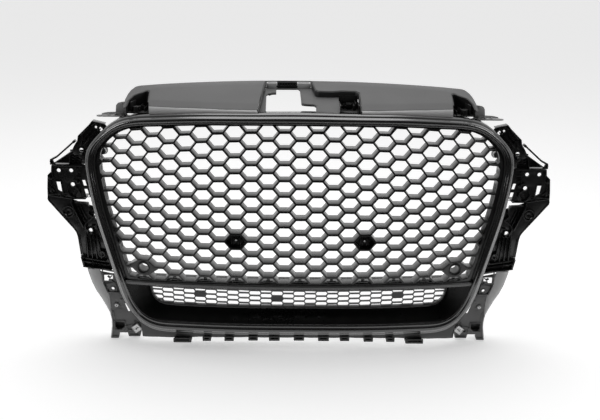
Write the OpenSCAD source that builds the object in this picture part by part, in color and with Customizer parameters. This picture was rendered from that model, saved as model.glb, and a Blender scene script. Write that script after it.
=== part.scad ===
// Front grille for a compact car: gloss surround, honeycomb insert, recessed lower intake,
// top cover panel with bonnet-lock cut-out, and screwed-on side and corner brackets.
// Frame: X across the car, -Y faces forward, +Z up. The feet stand on z = 0.

/* [Bowed face] */
// Radius in plan of the bowed front face, mm
bow_radius = 1100; // [900:10:1500]
// Radius of the forward bulge seen from the side, mm
lean_radius = 660; // [500:10:1200]
// Height at which the face reaches furthest forward, mm
lean_centre_z = 245; // [200:5:300]
// Depth of the whole part that is put at y = 0, mm
depth_centre = 102.2; // [80:0.1:120]

/* [Surround ring] */
// How far the crest of the ring stands in front of the face, mm
ring_proud = 10; // [4:1:14]
// Width of the raised crest, mm
ring_crest_width = 9; // [6:1:12]
// Thickness of the outer wall of the ring, mm
ring_wall = 4; // [3:0.5:6]
// Depth of the outer wall behind the face, mm
ring_wall_depth = 24; // [16:1:30]
// Thickness of the inner slope of the ring, mm
ring_skin = 7; // [3:0.5:9]

/* [Honeycomb] */
// Distance between neighbouring columns of cells, mm
cell_pitch_x = 31.9; // [28:0.1:36]
// Distance between neighbouring cells in a column, mm
cell_pitch_z = 30.4; // [26:0.1:34]
// Spread of the columns per mm of height above the spread height
cell_fan = 0.00013; // [0:0.00001:0.0003]
// Height of the middle of the top cell on the centre line, mm
cell_top_z = 466.5; // [460:0.1:480]
// Thickness of the walls between cells, mm
cell_wall = 4.0; // [2.4:0.1:5]
// Depth of the cell walls, mm
cell_depth = 32; // [12:1:36]
// Set-back of the cell fronts from the face, mm
cell_setback = 4; // [2:1:8]

/* [Cross bar and shelf] */
// Height of the underside of the cross bar on the centre line, mm
bar_low_z = 152; // [145:1:160]
// Height of the cross bar, mm
bar_height = 10; // [6:1:14]
// Depth of the cross bar, mm
bar_depth = 26; // [16:1:34]
// Height of the top of the shelf under the cells, mm
shelf_z = 165.5; // [162:0.5:172]
// Depth of the shelf, mm
shelf_depth = 41; // [38:1:60]

/* [Lower intake] */
// Distance between neighbouring columns of the fine mesh, mm
mesh_pitch_x = 22.9; // [18:0.1:26]
// Distance between neighbouring rows of the fine mesh, mm
mesh_pitch_z = 12; // [8:0.1:14]
// Thickness of the mesh bars, mm
mesh_bar = 2; // [1.4:0.1:3]
// Depth of the mesh bars, mm
mesh_depth = 8; // [5:1:12]
// Set-back of the mesh from the face, mm
mesh_setback = 46; // [36:1:56]
// Wall thickness of the intake panels, mm
intake_wall = 3; // [2:0.5:4]

/* [Top cover] */
// Thickness of the cover panel, mm
cover_wall = 3; // [2:0.5:4]
// Rise of the cover for each millimetre towards the rear
cover_slope = 0.25; // [0.1:0.01:0.4]
// Radius of the crown across the cover, mm
cover_crown_radius = 4200; // [3000:100:8000]
// Depth at which the rear edge of the cover lies, mm
cover_rear_y = 200; // [170:1:210]
// Height of the rear edge of the cover on the centre line, mm
cover_rear_z = 548; // [540:1:555]
// Drop from the cover to the floor of the lock recess, mm
recess_drop = 12; // [6:1:18]

/* [Brackets] */
// Depth at which the front plates of the side brackets lie, mm
wing_front_y = 132; // [125:1:145]
// Depth of the side bracket box, mm
wing_box_depth = 44; // [30:1:56]
// Plate thickness of the brackets, mm
bracket_wall = 3; // [2:0.5:5]
// Radius of the bracket screw holes, mm
screw_hole_radius = 4.2; // [3:0.1:5]
// Radius of the parking sensor holes, mm
sensor_hole_radius = 10; // [8:0.5:12]

/* [Display] */
// Name of the one sub-part to build, or all

/* [Hidden] */
$fn = 48;
band_count = 12;
profile_low = -10;
profile_high = 560;
extrude_front = -40;
extrude_back = 240;
crown_reference_x = 320;
gloss_black = [0.02, 0.02, 0.02];
satin_black = [0.06, 0.06, 0.06];
dark_plastic = [0.12, 0.12, 0.12];
grey_plastic = [0.42, 0.42, 0.42];
zinc = [0.75, 0.75, 0.75];

// Half outlines in front view, from the top middle round to the bottom middle: [x, z]
ring_outer_half = [[0, 504], [100, 502], [200, 499], [298, 492], [336, 488], [355, 484], [372, 478],
  [386, 469], [398, 459], [412, 446], [425, 432], [435, 420], [441, 406], [442, 394], [440, 380],
  [434, 350], [423, 297], [403, 230], [384, 162], [372, 114], [361, 87], [345, 61], [322, 40],
  [293, 32], [200, 37], [0, 44]];
ring_inner_half = [[0, 482], [100, 481], [200, 478], [296, 471], [330, 468], [347, 465], [362, 460],
  [375, 454], [386, 447], [398, 437], [409, 426], [416, 416], [421, 405], [422, 394], [421, 380],
  [415, 350], [403, 298], [383, 232], [365, 165], [352, 119], [341, 93], [327, 74.5], [309, 63.5],
  [284, 60], [200, 65], [0, 71]];
cell_field_half = [[0, 479], [200, 475], [298, 468], [338, 463], [358, 456], [376, 446], [394, 430],
  [405, 414], [409, 400], [407, 368], [401, 335], [390, 296], [371, 232], [352, 170], [350, 154],
  [200, 161], [0, 165]];
mesh_window_half = [[0, 98.5], [175, 94], [226, 90.5], [270, 89.5], [290, 90.5], [300, 96], [306, 104],
  [310, 120], [310, 150]];

// ---------- helpers ----------
function lean_at(z) = lean_radius - sqrt(pow(lean_radius, 2) - pow(z - lean_centre_z, 2));
function bow_at(x, z) = bow_radius - sqrt(pow(bow_radius - lean_at(z), 2) - x * x);
function droop(x, z) = (11.5 + 0.03 * (z - 199)) * pow(x / crown_reference_x, 2);
function mirrored(points) = concat(points,
  [for (i = [len(points) - 1:-1:0]) if (points[i][0] > 0.01) [-points[i][0], points[i][1]]]);

// puts the middle of the part's depth at y = 0
module place() {
  translate([0, -depth_centre, 0]) children();
}

// everything behind the bowed face, moved back by shift
module behind_face(shift) {
  step = (profile_high - profile_low) / band_count;
  translate([0, bow_radius + shift, 0])
    rotate_extrude($fn = 180)
      polygon(concat([[0, profile_low]],
        [for (i = [0:band_count]) let (z = profile_low + i * step) [bow_radius - lean_at(z), z]],
        [[0, profile_high]]));
}

// a front-view outline drawn in x and z, carried from y = a to y = b
module front_prism(a = extrude_front, b = extrude_back) {
  translate([0, b, 0]) rotate([90, 0, 0]) linear_extrude(height = b - a) children();
}

// a front-view outline kept between two layers of the bowed face
module face_layer(a, b) {
  intersection() {
    difference() {
      behind_face(a);
      behind_face(b);
    }
    front_prism() children();
  }
}

module on_side(s) {
  if (s > 0) children();
  else mirror([1, 0, 0]) children();
}

// ---------- surround ring and carrier ----------
function between(a, b, share) = [for (i = [0:len(a) - 1]) a[i] + (b[i] - a[i]) * share];
function ring_line(share) = mirrored(between(ring_outer_half, ring_inner_half, share));
crest_start = 0.28;
crest_end = crest_start + ring_crest_width / 20;
carrier_start = 0.4;
carrier_end = 0.65;
carrier_back_y = 148;
carrier_split_z = 156;
carrier_deep_x = 330;
carrier_low_depth = 46;
skin_back = 2;

module ring_band(from_share, to_share) {
  difference() {
    polygon(ring_line(from_share));
    polygon(ring_line(to_share));
  }
}

module surround_ring() {
  color(gloss_black) place() {
    face_layer(skin_back - ring_skin, skin_back) ring_band(0, 1);
    face_layer(-ring_proud, 0) ring_band(crest_start, crest_end);
    face_layer(0, ring_wall_depth) ring_band(0, ring_wall / 20);
  }
}

module carrier_frame() {
  color(satin_black) place() {
    face_layer(skin_back, carrier_low_depth) ring_band(carrier_start, carrier_end);
    intersection() {
      front_prism(extrude_front, carrier_back_y) intersection() {
        ring_band(carrier_start, carrier_end);
        for (s = [-1, 1])
          translate([s * (carrier_deep_x + 100), carrier_split_z + 200])
            square([200, 400], center = true);
      }
      behind_face(carrier_low_depth - 2);
    }
  }
}

// ---------- honeycomb ----------
column_count = 13;
row_count = 10;
strip_step = 35;
spread_start_z = 200;
function spread(z) = 1 + cell_fan * max(z - spread_start_z, 0);
function cell_corner(cx, cz, tip, flat, half, i) =
  let (z = cz + [0, half, half, 0, -half, -half][i],
    x = (cx + [tip, flat, -flat, -tip, -flat, flat][i]) * spread(z))
  [x, z - droop(x, z)];

// half width of a cell at its points, as a share of the pitch
cell_tip_share = 0.695;
function row_z(k, j) = cell_top_z - cell_pitch_z * (j + (k % 2 == 0 ? 0 : 0.5));
module cell(k, j, wall) {
  tip = cell_pitch_x * cell_tip_share - wall * 0.5;
  flat = cell_pitch_x * (1 - cell_tip_share) - wall * 0.2;
  half = (cell_pitch_z - wall) / 2;
  polygon([for (i = [0:5]) cell_corner(k * cell_pitch_x, row_z(k, j), tip, flat, half, i)]);
}

module cells() {
  for (k = [-column_count:column_count])
    for (j = [-1:row_count])
      if (abs(k) != sensor_column || j != sensor_row) cell(k, j, cell_wall);
}

// front-view strip that follows the droop of the rows, from low to high
module row_strip(low, high, half_width = 385) {
  steps = ceil(half_width / strip_step);
  polygon(concat(
    [for (i = [-steps:steps]) let (x = i * half_width / steps) [x, low - droop(x, low)]],
    [for (i = [steps:-1:-steps]) let (x = i * half_width / steps) [x, high - droop(x, low)]]));
}

module insert_outline() {
  intersection() {
    polygon(ring_line(carrier_end));
    row_strip(bar_low_z + bar_height, 600, 440);
  }
}

module honeycomb_insert() {
  color(satin_black) place()
    face_layer(cell_setback, cell_setback + cell_depth) difference() {
      insert_outline();
      intersection() {
        difference() {
          cells();
          for (s = [-1, 1]) translate([s * sensor_x, sensor_z]) polygon(sensor_diamond);
        }
        polygon(mirrored(cell_field_half));
      }
      for (s = [-1, 1]) translate([s * sensor_x, sensor_z]) circle(r = sensor_hole_radius + 3.2);
    }
}

// the cells on each side that carry a number plate plug, and a parking sensor
plug_column = 4;
plug_row = 7;
sensor_column = 10;
sensor_row = 9;
sensor_x = sensor_column * cell_pitch_x;
sensor_z = row_z(sensor_column, sensor_row) - droop(sensor_x, row_z(sensor_column, sensor_row));
sensor_diamond = [[29, -1], [9, 16], [-9, 17], [-29, 1], [-9, -16], [9, -17]];

module insert_shelf() {
  color(satin_black) place()
    face_layer(cell_setback + cell_depth, cell_setback + shelf_depth)
      intersection() {
        polygon(ring_line(carrier_end));
        row_strip(shelf_z - 3, shelf_z);
      }
}

module cross_bar() {
  color(gloss_black) place()
    face_layer(0, bar_depth) intersection() {
      polygon(ring_line(carrier_end));
      row_strip(bar_low_z, bar_low_z + bar_height);
    }
}

// ---------- lower intake ----------
intake_front = 2;
module intake_outline(low = -50) {
  intersection() {
    polygon(ring_line(carrier_end));
    row_strip(low, bar_low_z, 400);
  }
}
function face_radius(depth, z) = bow_radius - lean_at(z) - depth;

module intake_floor() {
  lip_low = 62;
  lip_high = 73;
  rear_high = 86;
  color(gloss_black) place() intersection() {
    translate([0, bow_radius, 0]) rotate_extrude($fn = 180) polygon([
      [face_radius(intake_front, lip_low), lip_low],
      [face_radius(intake_front, lip_high), lip_high],
      [face_radius(mesh_setback, rear_high), rear_high],
      [face_radius(mesh_setback, rear_high - intake_wall - 1), rear_high - intake_wall - 1],
      [face_radius(intake_front + 4, lip_high - intake_wall - 1), lip_high - intake_wall - 1],
      [face_radius(intake_front + 4, lip_low), lip_low]]);
    front_prism() intersection() {
      polygon(ring_line(carrier_end));
      translate([-316, 0]) square([632, 200]);
    }
  }
}

mesh_window_top = 134.5;
module mesh_window() {
  intersection() {
    polygon(mirrored(mesh_window_half));
    row_strip(80, mesh_window_top, 314);
  }
}

module intake_back_panel() {
  color(satin_black) place()
    face_layer(mesh_setback, mesh_setback + intake_wall) difference() {
      intersection() {
        row_strip(84, bar_low_z, 316);
        translate([-316, 70]) square([632, 90]);
      }
      mesh_window();
    }
}

module intake_side(s) {
  front_x = 353;
  rear_x = 314;
  front_y = 78;
  rear_y = 103;
  color(gloss_black) place() on_side(s) intersection() {
    translate([0, 0, 40]) linear_extrude(height = 120)
      polygon([[front_x, front_y], [rear_x, rear_y], [rear_x, rear_y + intake_wall + 1],
        [front_x, front_y + intake_wall + 1]]);
    front_prism() intake_outline();
  }
}
module intake_side_left() { intake_side(-1); }
module intake_side_right() { intake_side(1); }

mesh_columns = 13;
mesh_rows = 4;
mesh_top_z = 128;
blank_cells = [[-9, 0], [-2, 1], [9, 0]];
module lower_mesh() {
  color(satin_black) place()
    face_layer(mesh_setback - mesh_depth, mesh_setback) difference() {
      intersection() {
        row_strip(91, bar_low_z, 313);
        translate([-313, 70]) square([626, 90]);
      }
      intersection() {
        mesh_cells();
        mesh_window();
      }
    }
}

module mesh_cells() {
  tip = mesh_pitch_x * 0.575 - mesh_bar * 0.5;
  flat = mesh_pitch_x * 0.425 - mesh_bar * 0.2;
  half = (mesh_pitch_z - mesh_bar) / 2;
  for (k = [-mesh_columns:mesh_columns])
    for (j = [-1:mesh_rows])
      if (len([for (b = blank_cells) if (b[0] == k && b[1] == j) 1]) == 0) {
        cz = mesh_top_z - mesh_pitch_z * (j + (k % 2 == 0 ? 0 : 0.5));
        polygon([for (i = [0:5]) cell_corner(k * mesh_pitch_x, cz, tip, flat, half, i)]);
      }
}

// ---------- skirt and edge clips under the ring ----------
skirt_low = [[0, 35.5], [104, 33], [210, 25], [293, 13]];
function skirt_z(x) = lookup(x, skirt_low);
module bottom_skirt() {
  color(grey_plastic) place()
    face_layer(2, 10) polygon(mirrored(concat([[0, 44], [200, 37], [293, 32]],
      [for (i = [len(skirt_low) - 1:-1:0]) skirt_low[i]])));
}

clip_places = [-244, -192, -145, -95, -51, 0, 51, 95, 145, 192, 244];
clip_widths = [38, 18, 20, 20, 23, 22, 23, 20, 20, 18, 38];
clip_height = 11;
clip_depth = 22;
clip_wall = 2.4;
clip_floor = 4;
module bottom_clip(i) {
  x = clip_places[i];
  y = bow_at(x, 30) - 5;
  z = skirt_z(abs(x) + clip_widths[i] / 2) - clip_floor;
  color(satin_black) place() translate([x, y, z]) difference() {
    translate([-clip_widths[i] / 2, 0, 0]) cube([clip_widths[i], clip_depth, clip_height]);
    translate([-clip_widths[i], clip_wall, clip_floor])
      cube([2 * clip_widths[i], clip_depth - 2 * clip_wall, clip_height]);
    translate([0, clip_depth / 2, -1]) cylinder(r = 2.5, h = clip_floor + 2);
  }
}
module bottom_clip_1() { bottom_clip(0); }
module bottom_clip_2() { bottom_clip(1); }
module bottom_clip_3() { bottom_clip(2); }
module bottom_clip_4() { bottom_clip(3); }
module bottom_clip_5() { bottom_clip(4); }
module bottom_clip_6() { bottom_clip(5); }
module bottom_clip_7() { bottom_clip(6); }
module bottom_clip_8() { bottom_clip(7); }
module bottom_clip_9() { bottom_clip(8); }
module bottom_clip_10() { bottom_clip(9); }
module bottom_clip_11() { bottom_clip(10); }

// ---------- top cover ----------
cover_half = [[0, 56], [100, 61], [200, 75], [298, 96], [336, 107], [360, 112], [360, 150],
  [356, 183], [350, 193], [338, cover_rear_y], [0, cover_rear_y]];
recess_plan = [[-88, 40], [-74, 197], [23, 197], [32, 142], [119, 142], [119, 40]];
notch_plan = [[-72, 30], [-71, 148], [-67, 154], [-51, 157], [-51, 182], [-6, 182], [-2, 172],
  [0, 108], [4, 104], [25, 102], [29, 96], [29, 30]];
pocket_plan = [[306, 90], [309, 160], [318, 166], [343, 148], [351, 130], [353, 90]];
catch_x0 = 76;
catch_x1 = 116;
catch_front = 76;
catch_back = 139;

// layer of the cover's crowned, sloping skin, from depth a to depth b below its top
module cover_layer(a, b) {
  translate([0, cover_rear_y, cover_rear_z]) rotate([atan(cover_slope), 0, 0])
    difference() {
      translate([0, 20, -cover_crown_radius - a]) rotate([90, 0, 0])
        cylinder(r = cover_crown_radius, h = 240, $fn = 720);
      translate([0, 21, -cover_crown_radius - b]) rotate([90, 0, 0])
        cylinder(r = cover_crown_radius, h = 242, $fn = 720);
    }
}
function cover_z(x, y) = cover_rear_z - cover_slope * (cover_rear_y - y)
  - (cover_crown_radius - sqrt(pow(cover_crown_radius, 2) - x * x));
module plan_prism(low = 400, high = 600) {
  translate([0, 0, low]) linear_extrude(height = high - low) children();
}

module top_cover() {
  color(grey_plastic) place() intersection() {
    cover_layer(0, cover_wall);
    plan_prism() difference() {
      polygon(mirrored(cover_half));
      polygon(recess_plan);
      polygon(pocket_plan);
      mirror([1, 0]) polygon(pocket_plan);
    }
  }
}

module cover_lip(s) {
  lip_back = 6;
  lip_start = s > 0 ? 119 : 88;
  lip_xs = [lip_start, 200, 298, 304];
  ring_tops = [504 - lip_start * 0.023, 499, 492, 491];
  color(grey_plastic) place() on_side(s)
    face_layer(3, lip_back) polygon(concat(
      [for (x = lip_xs) [x, cover_z(x, bow_at(x, 495) + lip_back) - cover_wall - 0.5]],
      [for (i = [3:-1:0]) [lip_xs[i], ring_tops[i]]]));
}
module cover_lip_left() { cover_lip(-1); }
module cover_lip_right() { cover_lip(1); }

module lock_recess_frame() {
  inner_plan = [[-85, 30], [-71.3, 194], [20.4, 194], [29.4, 139], [116, 139], [116, 30]];
  color(grey_plastic) place() intersection() {
    cover_layer(cover_wall, recess_drop);
    plan_prism() difference() {
      intersection() {
        polygon(recess_plan);
        polygon(mirrored(cover_half));
      }
      polygon(inner_plan);
    }
  }
}

module slot_outline(length, r) {
  for (s = [-1, 1]) translate([s * (length / 2 - r), 0]) circle(r = r);
  square([length - 2 * r, 2 * r], center = true);
}
slot_radius = 3;
slot_row_y = 190;
module lock_recess_floor() {
  color(grey_plastic) place() intersection() {
    cover_layer(recess_drop, recess_drop + cover_wall);
    plan_prism() difference() {
      intersection() {
        polygon(recess_plan);
        polygon(mirrored(cover_half));
      }
      polygon(notch_plan);
      translate([73, 40]) square([50, 100]);
      translate([-60, slot_row_y - 1]) slot_outline(18, slot_radius);
      translate([6, slot_row_y - 1]) slot_outline(24, slot_radius);
    }
  }
}

module latch_bridge() {
  color(satin_black) place() translate([-47, 184, cover_z(0, 190) - recess_drop + 1.5])
    difference() {
      cube([36, 9, 8]);
      for (i = [0:3]) translate([4 + i * 8, -1, 3]) cube([4, 6, 8]);
    }
}

module catch_pocket() {
  wall = 2.5;
  floor_z = 500;
  color(satin_black) place() difference() {
    intersection() {
      translate([catch_x0, catch_front, floor_z])
        cube([catch_x1 - catch_x0, catch_back - catch_front, 60]);
      union() {
        cover_layer(cover_wall, cover_wall + 60);
      }
    }
    translate([catch_x0 + wall, catch_front - 1, floor_z + wall])
      cube([catch_x1 - catch_x0 - 2 * wall, catch_back - catch_front - wall + 1, 60]);
    translate([catch_x0 + 18, catch_front + 30, floor_z - 1]) cube([14, 12, 6]);
  }
}

module cover_pocket(s) {
  inner = [[309, 80], [312, 157.5], [318, 161.5], [340.5, 145.5], [348, 128.5], [350, 80]];
  floor_z = 489;
  color(satin_black) place() on_side(s) {
    difference() {
      intersection() {
        cover_layer(cover_wall, 60);
        translate([0, 0, floor_z]) linear_extrude(height = 60) intersection() {
          polygon(pocket_plan);
          translate([300, 112]) square([60, 60]);
        }
      }
      translate([0, 0, floor_z + 3]) linear_extrude(height = 60) polygon(inner);
    }
    translate([333, 124, floor_z + 2]) cylinder(r = 8, h = 12);
  }
}
module cover_pocket_left() { cover_pocket(-1); }
module cover_pocket_right() { cover_pocket(1); }

module end_tab(s) {
  color(grey_plastic) place() on_side(s) {
    translate([357, 147, 487]) cube([20, 3, 21]);
    translate([352, 130, 487]) cube([5, 20, 3]);
    translate([354, 147, 487]) cube([3, 3, cover_z(354, 148) - cover_wall - 487.5]);
    translate([357, 130, 487]) cube([3, 17, 14]);
  }
}
module end_tab_left() { end_tab(-1); }
module end_tab_right() { end_tab(1); }

flange_z = 477.5;
module flange_plate(s) {
  color(grey_plastic) place() on_side(s) {
    translate([0, 0, flange_z]) linear_extrude(height = 3)
      polygon([[356, 150], [414, 150], [419, 140], [405, 136], [356, 136]]);
    front_prism(147, 150) polygon([[356, flange_z + 2], [410, flange_z + 2], [410, 484], [356, 487]]);
  }
}
module flange_plate_left() { flange_plate(-1); }
module flange_plate_right() { flange_plate(1); }

// ---------- side brackets ----------
// how far back from a plate's front its ribs and walls start, so that they grow out of it
wall_root = 1.5;
// wall of the given width drawn along a line of points, with mitred corners
function run_normal(points, i) =
  let (run = points[i + 1] - points[i]) [-run[1], run[0]] / norm(run);
function wall_point(points, i, offset) =
  let (before = run_normal(points, max(i - 1, 0)), after = run_normal(points, min(i, len(points) - 2)))
  points[i] + (before + after) * offset / (1 + before * after);
module wall_along(points, width) {
  last = len(points) - 1;
  polygon(concat([for (i = [0:last]) wall_point(points, i, width / 2)],
    [for (i = [last:-1:0]) wall_point(points, i, -width / 2)]));
}

upper_arm_outline = [[394, 458], [399, 463], [425, 470], [431, 462], [454, 440], [457, 429],
  [463, 420], [470, 407], [450, 394], [449, 378], [430, 378], [420, 400], [415, 430]];
module upper_arm(s) {
  color(dark_plastic) place() on_side(s) {
    front_prism(wing_front_y, wing_front_y + bracket_wall) difference() {
      polygon(upper_arm_outline);
      polygon(ring_line(0));
      translate([450, 409]) circle(r = screw_hole_radius);
      translate([414, 456]) circle(r = 3);
    }
    front_prism(wing_front_y + wall_root, wing_front_y + 18)
      wall_along([[427, 467], [453, 439], [456, 428], [466, 410]], 3);
    front_prism(wing_front_y - 8, wing_front_y + wall_root)
      wall_along([[426, 452], [446, 432], [451, 420]], 3);
    front_prism(wing_front_y - 12, wing_front_y + wall_root)
      wall_along([[430, 461], [440, 450], [450, 440]], 3);
  }
}
module upper_arm_left() { upper_arm(-1); }
module upper_arm_right() { upper_arm(1); }

module wing_strut(s) {
  color(dark_plastic) place() on_side(s) {
    front_prism(wing_front_y, wing_front_y + 12)
      wall_along([[464, 427], [502, 394], [514, 387.5], [512, 380]], 4);
    front_prism(wing_front_y, wing_front_y + bracket_wall)
      polygon([[512, 389], [516, 389], [516, 377], [504, 377]]);
  }
}
module wing_strut_left() { wing_strut(-1); }
module wing_strut_right() { wing_strut(1); }

box_outline = [[425, 378], [514, 376], [515, 363], [522, 356], [524, 330], [525, 312], [476, 304],
  [400, 304]];
gusset_outline = [[450, 376], [450, 394], [470, 406], [498, 386], [510, 377], [509, 376]];
module box_bracket(s) {
  color(dark_plastic) place() on_side(s) {
    front_prism(wing_front_y, wing_front_y + bracket_wall) difference() {
      polygon(box_outline);
      polygon(ring_line(carrier_start));
      translate([499, 367]) circle(r = screw_hole_radius);
      translate([473, 367]) circle(r = screw_hole_radius);
      translate([472, 337]) circle(r = screw_hole_radius);
      polygon([[506, 342], [497, 342], [494, 319], [503, 319]]);
      polygon([[446, 345], [452, 345], [449, 308], [443, 308]]);
    }
    front_prism(wing_front_y + wall_root, wing_front_y + wing_box_depth)
      wall_along([[450, 374.5], [512.5, 374.5], [513.5, 362], [520.5, 355], [522.5, 330],
        [523, 313], [476, 305.5], [450, 305.5]], 3);
    front_prism(wing_front_y + 14, wing_front_y + 14 + bracket_wall) difference() {
      polygon(gusset_outline);
      polygon([[452, 378], [452, 392], [470, 400], [478, 378]]);
    }
    front_prism(wing_front_y + 26, wing_front_y + 26 + bracket_wall)
      polygon([[449, 373], [449, 404], [479, 404], [479, 373]]);
    front_prism(wing_front_y + 2, wing_front_y + 26)
      wall_along([[479, 374], [479, 402]], 2.5);
    front_prism(wing_front_y + 2, wing_front_y + 17)
      wall_along([[471, 405], [499, 385], [510, 377]], 3);
  }
}
module box_bracket_left() { box_bracket(-1); }
module box_bracket_right() { box_bracket(1); }

blade_outline = [[525, 312], [526, 303], [501, 272], [473, 238], [468, 225], [463, 182],
  [450, 182], [452, 246], [476, 304]];
module wing_blade(s) {
  rib_front = 10;
  color(dark_plastic) place() on_side(s) {
    front_prism(wing_front_y, wing_front_y + bracket_wall) difference() {
      polygon(blade_outline);
      translate([490, 272]) circle(r = 3);
    }
    front_prism(wing_front_y - rib_front, wing_front_y + wall_root)
      wall_along([[476, 305], [452, 247]], 3);
    front_prism(wing_front_y - 7, wing_front_y + wall_root) translate([483, 278]) difference() {
      circle(r = 13);
      circle(r = 10.5);
    }
    front_prism(wing_front_y + wall_root, wing_front_y + 20)
      wall_along([[523, 309], [523.5, 303], [499.5, 273], [471, 239], [466, 225], [461, 184]], 3);
  }
}
module wing_blade_left() { wing_blade(-1); }
module wing_blade_right() { wing_blade(1); }

panel_screw_at = [417, 186];
module wing_panel(s) {
  color(dark_plastic) place() on_side(s) {
    front_prism(wing_front_y, wing_front_y + bracket_wall) difference() {
      polygon([[400, 304], [476, 304], [452, 246], [450, 182], [463, 181], [458, 157], [366, 148]]);
      polygon(ring_line(carrier_start));
      translate([438, 239]) circle(r = screw_hole_radius);
      translate(panel_screw_at) circle(r = 2.6);
      polygon([[424, 250], [433, 296], [427, 296], [418, 250]]);
    }
    for (i = [0:3])
      front_prism(wing_front_y - 10, wing_front_y + wall_root)
        wall_along([[447 - i * 9, 232 - i * 2], [449 - i * 11, 178]], 2.5);
    front_prism(wing_front_y - 12, wing_front_y + wall_root) translate(panel_screw_at) difference() {
      circle(r = 9);
      circle(r = 6);
    }
    for (z = [178, 169, 160]) front_prism(wing_front_y - 10, wing_front_y + 1)
      wall_along([[459 - (178 - z) * 0.1, z], [384 - (178 - z) * 0.25, z - 6]], 2.5);
    front_prism(wing_front_y - 10, wing_front_y + wall_root)
      wall_along([[449, 246], [425, 250], [421, 226]], 2.5);
  }
}
module wing_panel_left() { wing_panel(-1); }
module wing_panel_right() { wing_panel(1); }

// ---------- corner brackets and feet ----------
corner_outline = [[446, 157], [437, 125], [419, 91], [404, 61], [400, 30], [404, 0], [386, 0],
  [384, 12], [367, 12], [365, 4], [340, 4], [336, 20], [318, 30], [300, 60], [340, 148]];
corner_y = 114;
corner_screw_at = [388, 76];
module corner_bracket(s) {
  color(grey_plastic) place() on_side(s) {
    front_prism(corner_y, corner_y + bracket_wall) difference() {
      polygon(corner_outline);
      polygon(ring_line(carrier_start));
      polygon([[391, 153], [413, 158], [413, 154], [391, 149]]);
      polygon([[394, 142], [412, 142], [412, 129], [404, 129], [404, 133], [394, 133]]);
      translate([394, 114]) circle(r = screw_hole_radius);
      translate(corner_screw_at) circle(r = 2.6);
      polygon([[368, 78], [371, 78], [364, 60], [361, 60]]);
      polygon([[372, 38], [394, 38], [394, 20], [380, 20], [372, 26]]);
    }
    front_prism(corner_y + wall_root, corner_y + 34)
      wall_along([[443, 155], [435, 126], [417.5, 91.5], [402.5, 61.5], [398.5, 31], [402, 6]], 3);
    front_prism(corner_y + wall_root, corner_y + 20) wall_along([[371, 39.5], [395.5, 39.5]], 3);
    front_prism(corner_y + wall_root, corner_y + 20) wall_along([[371, 18.5], [395.5, 18.5]], 3);
    front_prism(corner_y + 18, corner_y + 21) polygon([[370, 40], [397, 40], [397, 18], [370, 18]]);
    front_prism(corner_y - 5, corner_y + wall_root) wall_along([[413, 127], [404, 106], [380, 106]], 3);
  }
}
module corner_bracket_left() { corner_bracket(-1); }
module corner_bracket_right() { corner_bracket(1); }

// ---------- small fittings ----------
module sensor_socket(s) {
  tube_length = cell_depth + 13;
  flange = 3;
  face_y = bow_at(sensor_x, sensor_z) + cell_setback - 4;
  color(satin_black) place() on_side(s) {
    translate([sensor_x, face_y, sensor_z]) rotate([-90, 0, 0]) difference() {
      union() {
        translate([0, 0, 1]) cylinder(r = sensor_hole_radius + flange, h = tube_length - 1);
        cylinder(r = sensor_hole_radius + flange - 1, h = tube_length);
        translate([0, 0, tube_length - 7]) cylinder(r = sensor_hole_radius + flange + 2, h = 4);
      }
      translate([0, 0, -1]) cylinder(r = sensor_hole_radius, h = tube_length + 2);
    }
  }
}
module sensor_socket_left() { sensor_socket(-1); }
module sensor_socket_right() { sensor_socket(1); }

module spring_nut(s) {
  nut = 16;
  color(zinc) place() on_side(s)
    translate([346, 104, 26]) rotate([0, 35, 0]) rotate([-90, 0, 0]) difference() {
      translate([-nut / 2, -nut / 2, 0]) cube([nut, nut, 10]);
      translate([-nut, -nut / 2 + 1.2, 1.2]) cube([2 * nut, nut - 2.4, 20]);
      translate([0, 0, -1]) cylinder(r = 2.6, h = 4);
    }
}
module spring_nut_left() { spring_nut(-1); }
module spring_nut_right() { spring_nut(1); }

module plate_plug(s) {
  plug_gap = 0.5;
  plug_setback = 12;
  plug_x = plug_column * cell_pitch_x * spread(row_z(plug_column, plug_row));
  plug_z = row_z(plug_column, plug_row) - droop(plug_x, row_z(plug_column, plug_row));
  color(satin_black) place() on_side(s) {
    face_layer(plug_setback, cell_setback + cell_depth - 2) difference() {
      cell(plug_column, plug_row, cell_wall + 2 * plug_gap);
      translate([plug_x, plug_z]) circle(r = 2.2);
      for (i = [-2, -1, 1, 2]) translate([plug_x + i * 5.5 - 0.8, plug_z - 8]) square([1.6, 16]);
    }
  }
}
module plate_plug_left() { plate_plug(-1); }
module plate_plug_right() { plate_plug(1); }

// pan-head screw along the depth, head at the front
module screw(head_radius, shank_radius, length) {
  rotate([-90, 0, 0]) {
    difference() {
      cylinder(r = head_radius, h = 3);
      translate([0, 0, -1]) cylinder(r = 1.6, h = 3, $fn = 6);
    }
    translate([0, 0, 3]) cylinder(r = shank_radius, h = length);
  }
}
module panel_screw(s) {
  color(zinc) place() on_side(s)
    translate([panel_screw_at[0], wing_front_y - 3, panel_screw_at[1]]) screw(5.5, 2.4, 14);
}
module panel_screw_left() { panel_screw(-1); }
module panel_screw_right() { panel_screw(1); }
module corner_screw(s) {
  color(zinc) place() on_side(s)
    translate([corner_screw_at[0], corner_y - 3, corner_screw_at[1]]) screw(6, 2.4, 14);
}
module corner_screw_left() { corner_screw(-1); }
module corner_screw_right() { corner_screw(1); }

module peg(s) {
  color(grey_plastic) place() on_side(s)
    translate([407, 133, 406]) rotate([-90, 0, 0]) {
      cylinder(r = 7, h = 14);
      translate([0, 0, 12]) cylinder(r = 9, h = 3);
      translate([0, -2.5, 12]) cube([19.5, 5, 3]);
    }
}
module peg_left() { peg(-1); }
module peg_right() { peg(1); }

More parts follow.
